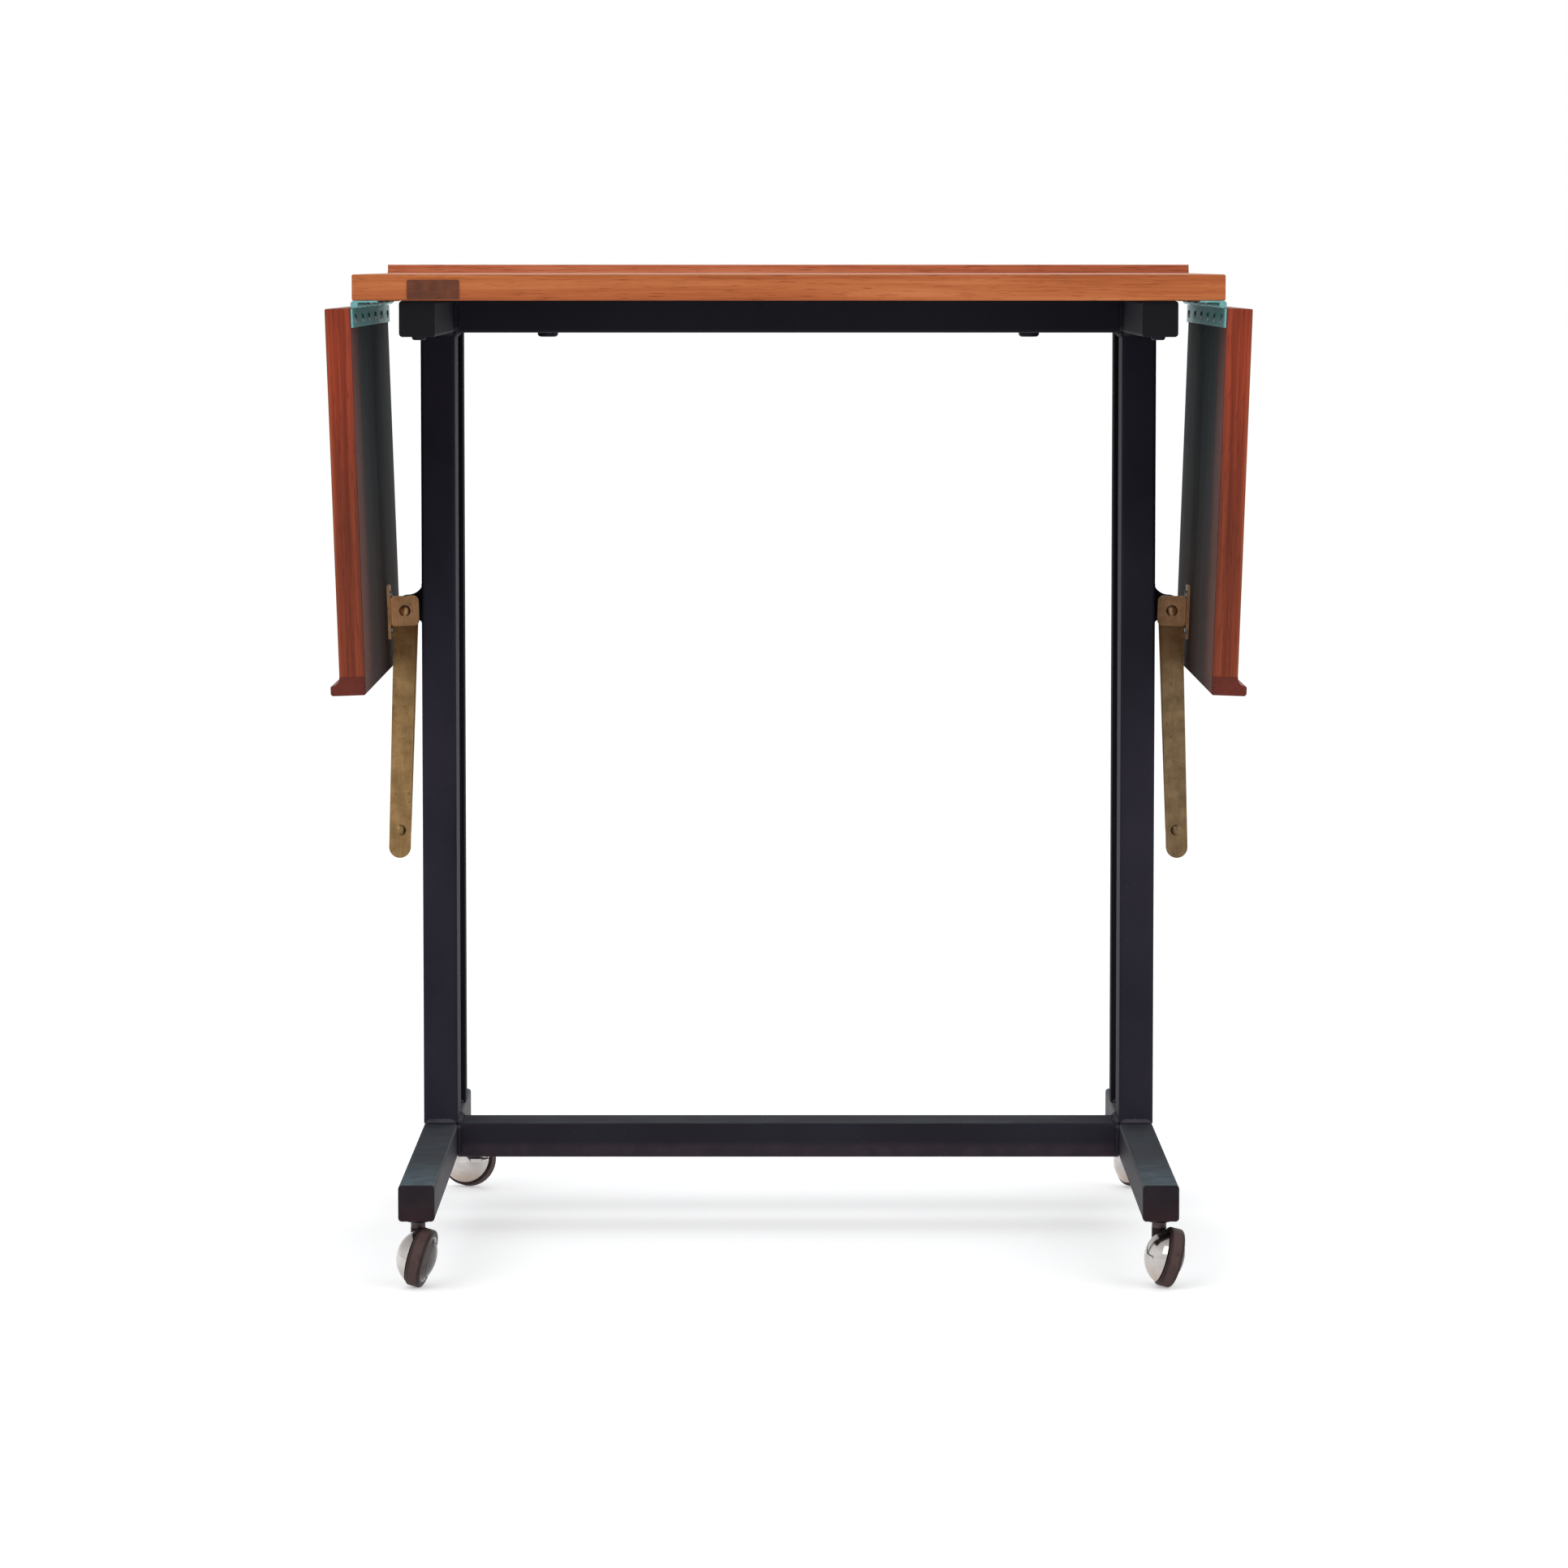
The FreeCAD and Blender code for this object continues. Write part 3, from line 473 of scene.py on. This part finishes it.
def plated(name, tones, rough, streaks, grime, metallic=1.0):
    """Plated steel: tones from dark to light, streaks stretched along an axis, grime in spots."""
    tree = Tree(name, Metallic=metallic)
    streak = tree.noise(tree.stretched(tree.place, streaks), detail=3.0)
    cloud = tree.noise(tree.place, scale=120.0, detail=4.0, roughness=0.6)
    spot = tree.step(tree.noise(tree.place, scale=420.0, detail=2.0), 0.62, 0.72)
    colour = tree.ramp(tree.total((streak, 0.5), (cloud, 0.5)),
                       (0.35, tones[0]), (0.65, tones[1]))
    colour = tree.mix(tree.times(spot, 0.55), colour, grime)
    wear_and_highlight = tree.edges(0.4 * MM, sharp=0.9)
    colour = tree.mix(tree.times(wear_and_highlight, 0.3), colour, tones[0])
    tree.set(Base_Color=colour,
             Roughness=tree.total((cloud, rough), (streak, rough * 0.5), (spot, 0.25)))
    tree.bump((streak, 0.006 * MM), (spot, 0.01 * MM))
    return tree.material


def castor_sleeve(tree):
    """1 on the sleeve round a castor's stem, which its hood ends in, and 0 below and beside."""
    stem = joint("rear_right_castor_swivel")["pos_m"]
    split = tree.add("SeparateXYZ", {"Vector": tree.place}).outputs
    across, forth = (tree.minus(tree.absolute(split[axis]), centre)
                     for axis, centre in (("X", stem[0]), ("Y", stem[1])))
    reach = tree.maths("SQRT", tree.plus(tree.times(across, across), tree.times(forth, forth)))
    return tree.times(tree.step(reach, 5.3 * MM, 6.1 * MM, 1.0, 0.0),
                      tree.step(split["Z"], 27.0 * MM, 30.0 * MM))


def hood_chrome():
    """Polished chrome, with a painted tan reflection of the floor below, duller above with a
    painted dark reflection, and a dark sleeve as neck.
    """
    tree = Tree("castor_chrome", Metallic=1.0)
    cloud = tree.noise(tree.place, scale=90.0, detail=3.0)
    haze = tree.noise(tree.place, scale=420.0, detail=4.0)
    colour = tree.ramp(cloud, (0.35, (0.49, 0.46, 0.445)), (0.65, (0.60, 0.57, 0.55)))
    rise = tree.facing(Z)
    # A painted tan reflection of the floor, on the faces that look down.
    below = tree.times(tree.step(rise, -0.75, 0.05, 1.0, 0.0),
                       tree.step(haze, 0.30, 0.70, 0.65, 1.0))
    colour = tree.mix(below, colour, (0.52, 0.42, 0.35))
    # A painted dark reflection on the faces that look up, which are also duller.
    above = tree.step(rise, 0.25, 0.85)
    colour = tree.mix(tree.times(above, 0.75), colour, (0.17, 0.145, 0.14))
    sleeve = castor_sleeve(tree)
    colour = tree.mix(sleeve, colour, (0.020, 0.014, 0.014))
    rough = tree.total((cloud, 0.10), (haze, 0.06), (below, 0.14), (above, 0.10), (sleeve, 0.25))
    tree.set(Base_Color=colour, Roughness=rough)
    tree.bump((haze, 0.004 * MM))
    return tree.material


def plate_enamel():
    """Brown enamel on a brushed plate, rubbed through a little along its rim."""
    tree = Tree("brown_plate_enamel", Specular_IOR_Level=0.25)
    cloud = tree.noise(tree.place, scale=160.0, detail=4.0)
    brushed = tree.noise(tree.stretched(tree.place, (60.0, 60.0, 2600.0)), detail=2.0)
    colour = tree.ramp(tree.total((cloud, 0.6), (brushed, 0.4)),
                       (0.35, (0.080, 0.021, 0.009)), (0.65, (0.150, 0.040, 0.015)))
    rim = tree.edges(0.25 * MM)
    colour = tree.mix(tree.times(rim, 0.5), colour, (0.24, 0.11, 0.06))
    rough = tree.total((cloud, 0.30), (brushed, 0.20))
    tree.set(Base_Color=colour, Roughness=tree.plus(rough, 0.15))
    tree.bump((brushed, 0.01 * MM))
    return tree.material


# ---- wheels ----------------------------------------------------------------------------
TREAD_HALF = (2.2 * MM, 4.2 * MM)       # where the painted highlight on the tread fades, from the tyre's middle
TREAD_RADIUS = (19.6 * MM, 20.2 * MM)   # where it begins, from the axle
GROOVE_RADIUS = 12.2 * MM               # of the ring moulded into a hub


def wheel_distances(tree, corner):
    """Distance from a wheel's axle, and distance along it from the tyre's middle."""
    spin = joint(corner + "_wheel_spin")
    offset = tree.vectors("SUBTRACT", tree.place, tuple(spin["pos_m"]))
    along = tree.along(offset, Vector(spin["axis"]).normalized())
    length = tree.vectors("LENGTH", offset)
    squared = tree.minus(tree.times(length, length), tree.times(along, along))
    return tree.maths("SQRT", tree.maths("MAXIMUM", squared, 0.0)), along


def tyre(corner):
    """Brown-black rubber, greyer along the tread with a painted highlight."""
    tree = Tree(corner + "_tyre_rubber", Specular_IOR_Level=0.2)
    radius, along = wheel_distances(tree, corner)
    dirt_and_sheen = tree.noise(tree.place, scale=190.0, detail=5.0, roughness=0.65)
    fine = tree.noise(tree.place, scale=1400.0, detail=2.0)
    colour = tree.ramp(dirt_and_sheen, (0.35, (0.017, 0.008, 0.008)), (0.65, (0.040, 0.020, 0.019)))
    tread = tree.times(tree.step(tree.absolute(along), *TREAD_HALF, 1.0, 0.0),
                       tree.step(radius, *TREAD_RADIUS))
    # A painted highlight along the flat of the tread, in patches.
    wear_and_highlight = tree.times(tread, tree.step(dirt_and_sheen, 0.25, 0.60, 0.55, 1.0))
    colour = tree.mix(wear_and_highlight, colour, (0.078, 0.047, 0.043))
    rough = tree.total((fine, 0.10), (dirt_and_sheen, 0.20), (wear_and_highlight, 0.15))
    tree.set(Base_Color=colour, Roughness=tree.plus(rough, 0.34))
    tree.bump((fine, 0.03 * MM), (dirt_and_sheen, 0.05 * MM))
    return tree.material


def hub(corner):
    """Brown-grey plastic with a ring-shaped groove."""
    tree = Tree(corner + "_hub_plastic", Specular_IOR_Level=0.4)
    radius, _ = wheel_distances(tree, corner)
    cloud = tree.noise(tree.place, scale=140.0, detail=4.0)
    colour = tree.ramp(cloud, (0.35, (0.046, 0.032, 0.032)), (0.65, (0.082, 0.060, 0.058)))
    off_groove = tree.absolute(tree.minus(radius, GROOVE_RADIUS))
    ring = tree.step(off_groove, 0.15 * MM, 0.6 * MM, 1.0, 0.0)
    colour = tree.mix(tree.times(ring, 0.5), colour, (0.008, 0.006, 0.006))
    tree.set(Base_Color=colour, Roughness=tree.total((cloud, 0.35), (ring, 0.3)))
    tree.bump((tree.minus(1.0, ring), 0.25 * MM), (cloud, 0.02 * MM))
    return tree.material


# ---- finishes of the CAD nodes ---------------------------------------------------------
board_wood = teak("teak_top_board", TEAK_TOP, X, lambda tree: tree.place, staves=STAVE_WIDTH,
                  under=board_depth)
strip_wood = teak("teak_back_strip", TEAK_STRIP, X, lambda tree: tree.place)
leaf_wood = teak("teak_leaf_panel", TEAK_LEAF, LEAF_LENGTH, leaf_grain(LEAF_LENGTH, Y),
                 staves=STAVE_WIDTH, under=leaf_depth, glow=leaf_glow)
lip_wood = teak("teak_leaf_strip", TEAK_LIP, Y, leaf_grain(Y, LEAF_LENGTH), under=leaf_depth,
                edge_darkening=0.85)

paint = painted("satin_black_paint")
post_paint = painted("post_black_paint", sheen=0.08, dull=0.60, strength=1.5)
# Darker paint on the rear posts: painted shade.
shaded_rear_paint = painted("rear_post_black_paint", sheen=0.05, dull=0.64, strength=0.6)
arm_paint = painted("arm_black_paint", sheen=0.05, dull=0.60)
# The rail's lower front takes a painted reflection of the floor.
rail_paint = painted("rail_black_paint", reflected=rail_floor_reflection, reflection_tone=(0.038, 0.026, 0.034))
# The feet's tops take a painted grey-blue reflection towards their ends.
foot_paint = painted("foot_black_paint", reflected=foot_end_reflection)
# The welds' light tone on upward faces is a painted highlight, where light catches the beads.
weld_paint = painted("weld_black_paint", dust_and_highlight_reach=(0.15, 0.75),
                     dust_and_highlight_tone=(0.085, 0.080, 0.095))
caps = cap_plastic()

link_brass = {
    "left": brass("left_brass", (0.140, 0.088, 0.040), (0.240, 0.146, 0.062),
                  (0.350, 0.215, 0.095), pivot_shade=link_pivot_shade),
    "right": brass("right_brass", (0.110, 0.070, 0.037), (0.160, 0.106, 0.056),
                   (0.240, 0.160, 0.085), pivot_shade=link_pivot_shade),
}
bracket_brass = {
    "left": brass("left_ruddy_brass", (0.230, 0.130, 0.062), (0.400, 0.215, 0.105),
                  (0.560, 0.330, 0.170)),
    "right": brass("right_ruddy_brass", (0.150, 0.080, 0.042), (0.250, 0.135, 0.072),
                   (0.380, 0.220, 0.120)),
}
hinge_metal = plated("zinc_hinge_plate", ((0.110, 0.290, 0.290), (0.200, 0.460, 0.460)), 0.70,
                     (500.0, 24.0, 500.0), (0.060, 0.120, 0.120), metallic=0.35)
screw_metal = plated("screw_steel", ((0.10, 0.12, 0.12), (0.26, 0.28, 0.28)), 0.5,
                     (300.0, 300.0, 300.0), (0.05, 0.04, 0.03))
bright_chrome = hood_chrome()
dull_steel = plated("castor_steel", ((0.050, 0.036, 0.036), (0.110, 0.085, 0.082)), 0.6,
                    (200.0, 200.0, 700.0), (0.07, 0.04, 0.03))
enamel = plate_enamel()

finishes = {
    "top_board": board_wood, "back_moulding": strip_wood, "blank_plate": enamel,
    "top_rail": paint, "bottom_rail": rail_paint, "stay_ears": paint, "tube_end_caps": caps,
    "rail_bolts": paint, "arm_screws": paint, "board_hinge_plates": hinge_metal,
    "board_hinge_screws": screw_metal, "hinge_pins": hinge_metal,
    "stay_ear_rivets": link_brass["right"], "castor_sockets": dull_steel,
}
for side in SIDES:
    link, bracket = link_brass[side], bracket_brass[side]
    for piece, finish in (
            ("post", post_paint), ("rear_post", shaded_rear_paint), ("arm", arm_paint),
            ("foot", foot_paint), ("leaf_link", link), ("knee_rivet", link), ("post_link", link),
            ("stay_bracket", bracket), ("stay_bracket_rivet", bracket),
            ("leaf_panel", leaf_wood), ("leaf_moulding", lip_wood),
            ("leaf_hinge_plate", hinge_metal), ("leaf_screws", screw_metal)):
        finishes[side + "_" + piece] = finish
for corner in CORNERS:
    for piece, finish in (
            ("hood", bright_chrome), ("stem", dull_steel), ("axle", dull_steel),
            ("wheel", hub(corner)), ("tyre", tyre(corner))):
        finishes[corner + "_castor_" + piece] = finish

for node, piece in frame["nodes"].items():
    piece.data.materials.clear()
    piece.data.materials.append(finishes[node])


# ---- pieces made here ------------------------------------------------------------------
def new_piece(name, shape, material, body):
    """Turn a bmesh into an object that rides on a body."""
    mesh = bpy.data.meshes.new(name)
    bmesh.ops.recalc_face_normals(shape, faces=shape.faces)
    shape.to_mesh(mesh)
    shape.free()
    mesh.materials.append(material)
    piece = bpy.data.objects.new(name, mesh)
    bpy.context.scene.collection.objects.link(piece)
    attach(piece, body)
    return piece


def smooth(piece, ends):
    """Shade a piece smooth, and its end faces, which have more than four corners, if asked."""
    for face in piece.data.polygons:
        face.use_smooth = ends or len(face.vertices) == 4


def skin(shape, outlines):
    """A closed surface over outlines with the same count of points: walls from each to the
    next, and a face on the first and the last."""
    rings = [[shape.verts.new(point) for point in outline] for outline in outlines]
    for ring, following in zip(rings, rings[1:]):
        for index in range(len(ring)):
            after = (index + 1) % len(ring)
            shape.faces.new((ring[index], ring[after], following[after], following[index]))
    shape.faces.new(rings[0])
    shape.faces.new(rings[-1])


ARC_STEPS = 6               # in a quarter turn of a bead or a plate's corner
BEAD_STEP = 0.4 * MM        # between the outlines of a weld bead
RIPPLE_LENGTH = 1.7 * MM    # between its ripples


def weld(shape, start, end, faces, leg, seed):
    """A fillet weld bead along a corner. faces are the two directions from the corner along
    the joined faces, and leg is the bead's width on each."""
    draws = random.Random(seed)
    run = end - start
    count = max(12, round(run.length / BEAD_STEP))
    root = (faces[0] + faces[1]) * 0.25 * MM    # how far the bead reaches into the corner
    outlines = []
    wander = 0.0
    for index in range(count + 1):
        share = index / count
        wander = 0.9 * wander + draws.uniform(-0.03, 0.03)
        phase = share * run.length / RIPPLE_LENGTH % 1.0
        swell = 1.0 + 0.10 * (1.0 - phase) ** 2 + wander
        taper = min(1.0, math.sqrt(min(share, 1.0 - share) * run.length / leg + 0.04))
        size = leg * swell * taper
        centre = start + run * share
        outline = [centre - root]
        for step in range(ARC_STEPS + 1):
            angle = math.radians(90.0 * step / ARC_STEPS)
            bulge = 1.0 - 0.16 * math.sin(2.0 * angle)
            offset = faces[0] * math.cos(angle) + faces[1] * math.sin(angle)
            outline.append(centre + offset * size * bulge)
        outlines.append(outline)
    skin(shape, outlines)


POST_LEG, RAIL_LEG, RAIL_FLAT_LEG, EAR_LEG = 3.4 * MM, 3.0 * MM, 3.2 * MM, 1.6 * MM
WELD_INSET = 1.2 * MM       # from the ends of a tube's rounded sides
EAR_INSET = 2.0 * MM        # from the ends of an ear


def tube_welds(sign):
    """The fillet welds of one side of the frame, laid out on the right and mirrored if the
    sign is negative."""
    inner, outer = low("right_post").x, high("right_post").x
    welds = []
    for post in ("right_post", "right_rear_post"):
        bottom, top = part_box(post)
        for z, up in ((bottom.z, Z), (top.z, -Z)):
            for y, out in ((bottom.y, -Y), (top.y, Y)):
                welds.append((Vector((inner + WELD_INSET, y, z)),
                              Vector((outer - WELD_INSET, y, z)), (out, up), POST_LEG))
    for rail, up in (("bottom_rail", Z), ("top_rail", -Z)):
        near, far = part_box(rail)
        for y, out in ((near.y, -Y), (far.y, Y)):
            welds.append((Vector((inner, y, near.z + WELD_INSET)),
                          Vector((inner, y, far.z - WELD_INSET)), (-X, out), RAIL_LEG))
        z = far.z if up == Z else near.z
        welds.append((Vector((inner, near.y + WELD_INSET, z)),
                      Vector((inner, far.y - WELD_INSET, z)), (-X, up), RAIL_FLAT_LEG))
    near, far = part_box("stay_ears")
    for y, out in ((near.y, -Y), (far.y, Y)):
        welds.append((Vector((outer, y, near.z + EAR_INSET)),
                      Vector((outer, y, far.z - EAR_INSET)), (X, out), EAR_LEG))
    shape = bmesh.new()
    for seed, (start, end, faces, leg) in enumerate(welds, 100 if sign > 0 else 0):
        weld(shape, start, end, faces, leg, seed)
    if sign < 0:
        bmesh.ops.transform(shape, matrix=Matrix.Scale(-1.0, 4, X), verts=shape.verts)
    return shape


def rimmed_plate(node):
    """A thin plate with rounded corners and a raised rim round a bare field, in a node's box.
    Its front looks to -Y."""
    near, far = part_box(node)
    middle = (near + far) / 2
    half = (far - near) / 2
    corner_radius, least_radius = 1.2 * MM, 0.15 * MM

    def outline(inset, y):
        points = []
        radius = max(corner_radius - inset, least_radius)
        for quarter, (across, up) in enumerate(((1, 1), (-1, 1), (-1, -1), (1, -1))):
            for step in range(ARC_STEPS + 1):
                angle = math.radians(90.0 * (quarter + step / ARC_STEPS))
                points.append(Vector((
                    middle.x + across * (half.x - inset - radius) + radius * math.cos(angle), y,
                    middle.z + up * (half.z - inset - radius) + radius * math.sin(angle))))
        return points

    back, front = far.y, near.y
    field = front + 0.30 * MM
    profile = ((0.0, back), (0.0, front + 0.22 * MM), (0.06 * MM, front + 0.07 * MM),
               (0.22 * MM, front), (0.85 * MM, front), (1.00 * MM, front + 0.06 * MM),
               (1.12 * MM, field - 0.06 * MM), (1.30 * MM, field))
    shape = bmesh.new()
    skin(shape, [outline(inset, y) for inset, y in profile])
    return shape


def rivet_tail(link, rivet):
    """The upset tail of a knee rivet: a low button with a dimple, on the far side of a link."""
    near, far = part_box(rivet)
    centre = Vector(((near.x + far.x) / 2, high(link).y, (near.z + far.z) / 2))
    radius, rise, rim = 4.2 * MM, 1.5 * MM, 0.25 * MM
    dome_steps, turn_steps = 9, 40
    profile = [(radius - rim, 0.0)]
    for step in range(dome_steps):
        angle = math.radians(90.0 * step / dome_steps)
        profile.append((radius * math.cos(angle), rim + (rise - rim) * math.sin(angle)))
    profile += [(1.2 * MM, rise - 0.15 * MM), (0.5 * MM, rise - 0.25 * MM)]
    turns = [2.0 * math.pi * step / turn_steps for step in range(turn_steps)]
    shape = bmesh.new()
    skin(shape, [[centre + Vector((reach * math.cos(turn), height, reach * math.sin(turn)))
                  for turn in turns] for reach, height in profile])
    return shape


bare_plate = new_piece("bare_plate", rimmed_plate("blank_plate"), enamel, "frame")
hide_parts("blank_plate")

for side, sign in SIDES.items():
    tail = new_piece(side + "_knee_rivet_tail",
                     rivet_tail(side + "_post_link", side + "_knee_rivet"),
                     link_brass[side], side + "_post_link")
    smooth(tail, ends=False)
    welds = new_piece(side + "_tube_welds", tube_welds(sign), weld_paint, "frame")
    smooth(welds, ends=True)


# ---- camera, lights and floor ----------------------------------------------------------
scene = bpy.context.scene
scene.view_settings.view_transform = "Standard"

# The camera's place, tilt and lens are fitted to the photograph's perspective.
camera_data = bpy.data.cameras.new("camera")
camera_data.sensor_width = 36.0
camera_data.lens = 150.0
camera_data.clip_end = 100.0
camera = bpy.data.objects.new("camera", camera_data)
camera.location = (-0.0032, -4.708, 0.706)
camera.rotation_euler = (math.radians(85.4), 0.0, 0.0)
scene.collection.objects.link(camera)
scene.camera = camera

WORLD_TINT, WORLD_LIGHT = (0.97, 0.985, 1.0, 1.0), 0.80
FLOOR_TONE, FLOOR_GLOW = (0.90, 0.90, 0.90, 1.0), 0.34
FLOOR_SIZE = 40.0
FLOOR_GAP = 0.05 * MM       # under the tyres
LAMP_SIZE = 2.6
LAMP_TARGET = Vector((0.0, 0.0, 0.4))


def linked(tree, kind, *sources):
    """Add a node to a node tree, and link its first inputs to the sockets given."""
    node = tree.nodes.new("ShaderNode" + kind)
    for socket, source in zip(node.inputs, sources):
        tree.links.new(source, socket)
    return node


def seen_directly(tree):
    """1 for camera, mirror and glass rays, which see the pale studio, and 0 for light rays."""
    path = linked(tree, "LightPath").outputs
    result = path["Is Camera Ray"]
    for name in ("Is Glossy Ray", "Is Transmission Ray"):
        node = linked(tree, "Math", result, path[name])
        node.operation = "MAXIMUM"
        result = node.outputs[0]
    return result


def pale_world():
    """A white surround for the camera, which lights the object a little less."""
    world = bpy.data.worlds.new("studio")
    world.use_nodes = True
    tree = world.node_tree
    seen = tree.nodes["Background"]
    seen.inputs["Color"].default_value = (1.0, 1.0, 1.0, 1.0)
    seen.inputs["Strength"].default_value = 1.0
    lit = linked(tree, "Background")
    lit.inputs["Color"].default_value = WORLD_TINT
    lit.inputs["Strength"].default_value = WORLD_LIGHT
    mix = linked(tree, "MixShader", seen_directly(tree), lit.outputs[0], seen.outputs[0])
    tree.links.new(mix.outputs[0], tree.nodes["World Output"].inputs["Surface"])
    scene.world = world


def pale_floor():
    """A floor that takes the object's shadow, lifted to white for the camera."""
    shape = bmesh.new()
    bmesh.ops.create_grid(shape, x_segments=1, y_segments=1, size=FLOOR_SIZE)
    mesh = bpy.data.meshes.new("floor")
    shape.to_mesh(mesh)
    shape.free()
    floor = bpy.data.objects.new("floor", mesh)
    floor.location = (0.0, 0.0, cad_box[0][2] - FLOOR_GAP)
    scene.collection.objects.link(floor)
    material = bpy.data.materials.new("pale_floor")
    material.use_nodes = True
    tree = material.node_tree
    shader = tree.nodes["Principled BSDF"]
    shader.inputs["Base Color"].default_value = FLOOR_TONE
    shader.inputs["Roughness"].default_value = 0.9
    shader.inputs["Specular IOR Level"].default_value = 0.0
    strength = linked(tree, "Math", seen_directly(tree))
    strength.operation = "MULTIPLY"
    strength.inputs[1].default_value = FLOOR_GLOW
    glow = linked(tree, "Emission")
    tree.links.new(strength.outputs[0], glow.inputs["Strength"])
    both = linked(tree, "AddShader", shader.outputs[0], glow.outputs[0])
    tree.links.new(both.outputs[0], tree.nodes["Material Output"].inputs["Surface"])
    mesh.materials.append(material)


def softbox(name, place, power):
    """A square lamp that looks at the object."""
    data = bpy.data.lights.new(name, "AREA")
    data.shape = "SQUARE"
    data.size = LAMP_SIZE
    data.energy = power
    lamp = bpy.data.objects.new(name, data)
    lamp.location = place
    lamp.rotation_euler = (LAMP_TARGET - Vector(place)).to_track_quat("-Z", "Y").to_euler()
    scene.collection.objects.link(lamp)


pale_world()
pale_floor()
softbox("key", (-2.2, -3.4, 3.0), 40.0)
softbox("fill", (2.8, -2.6, 2.2), 20.0)
softbox("rim", (0.4, 3.2, 3.0), 30.0)
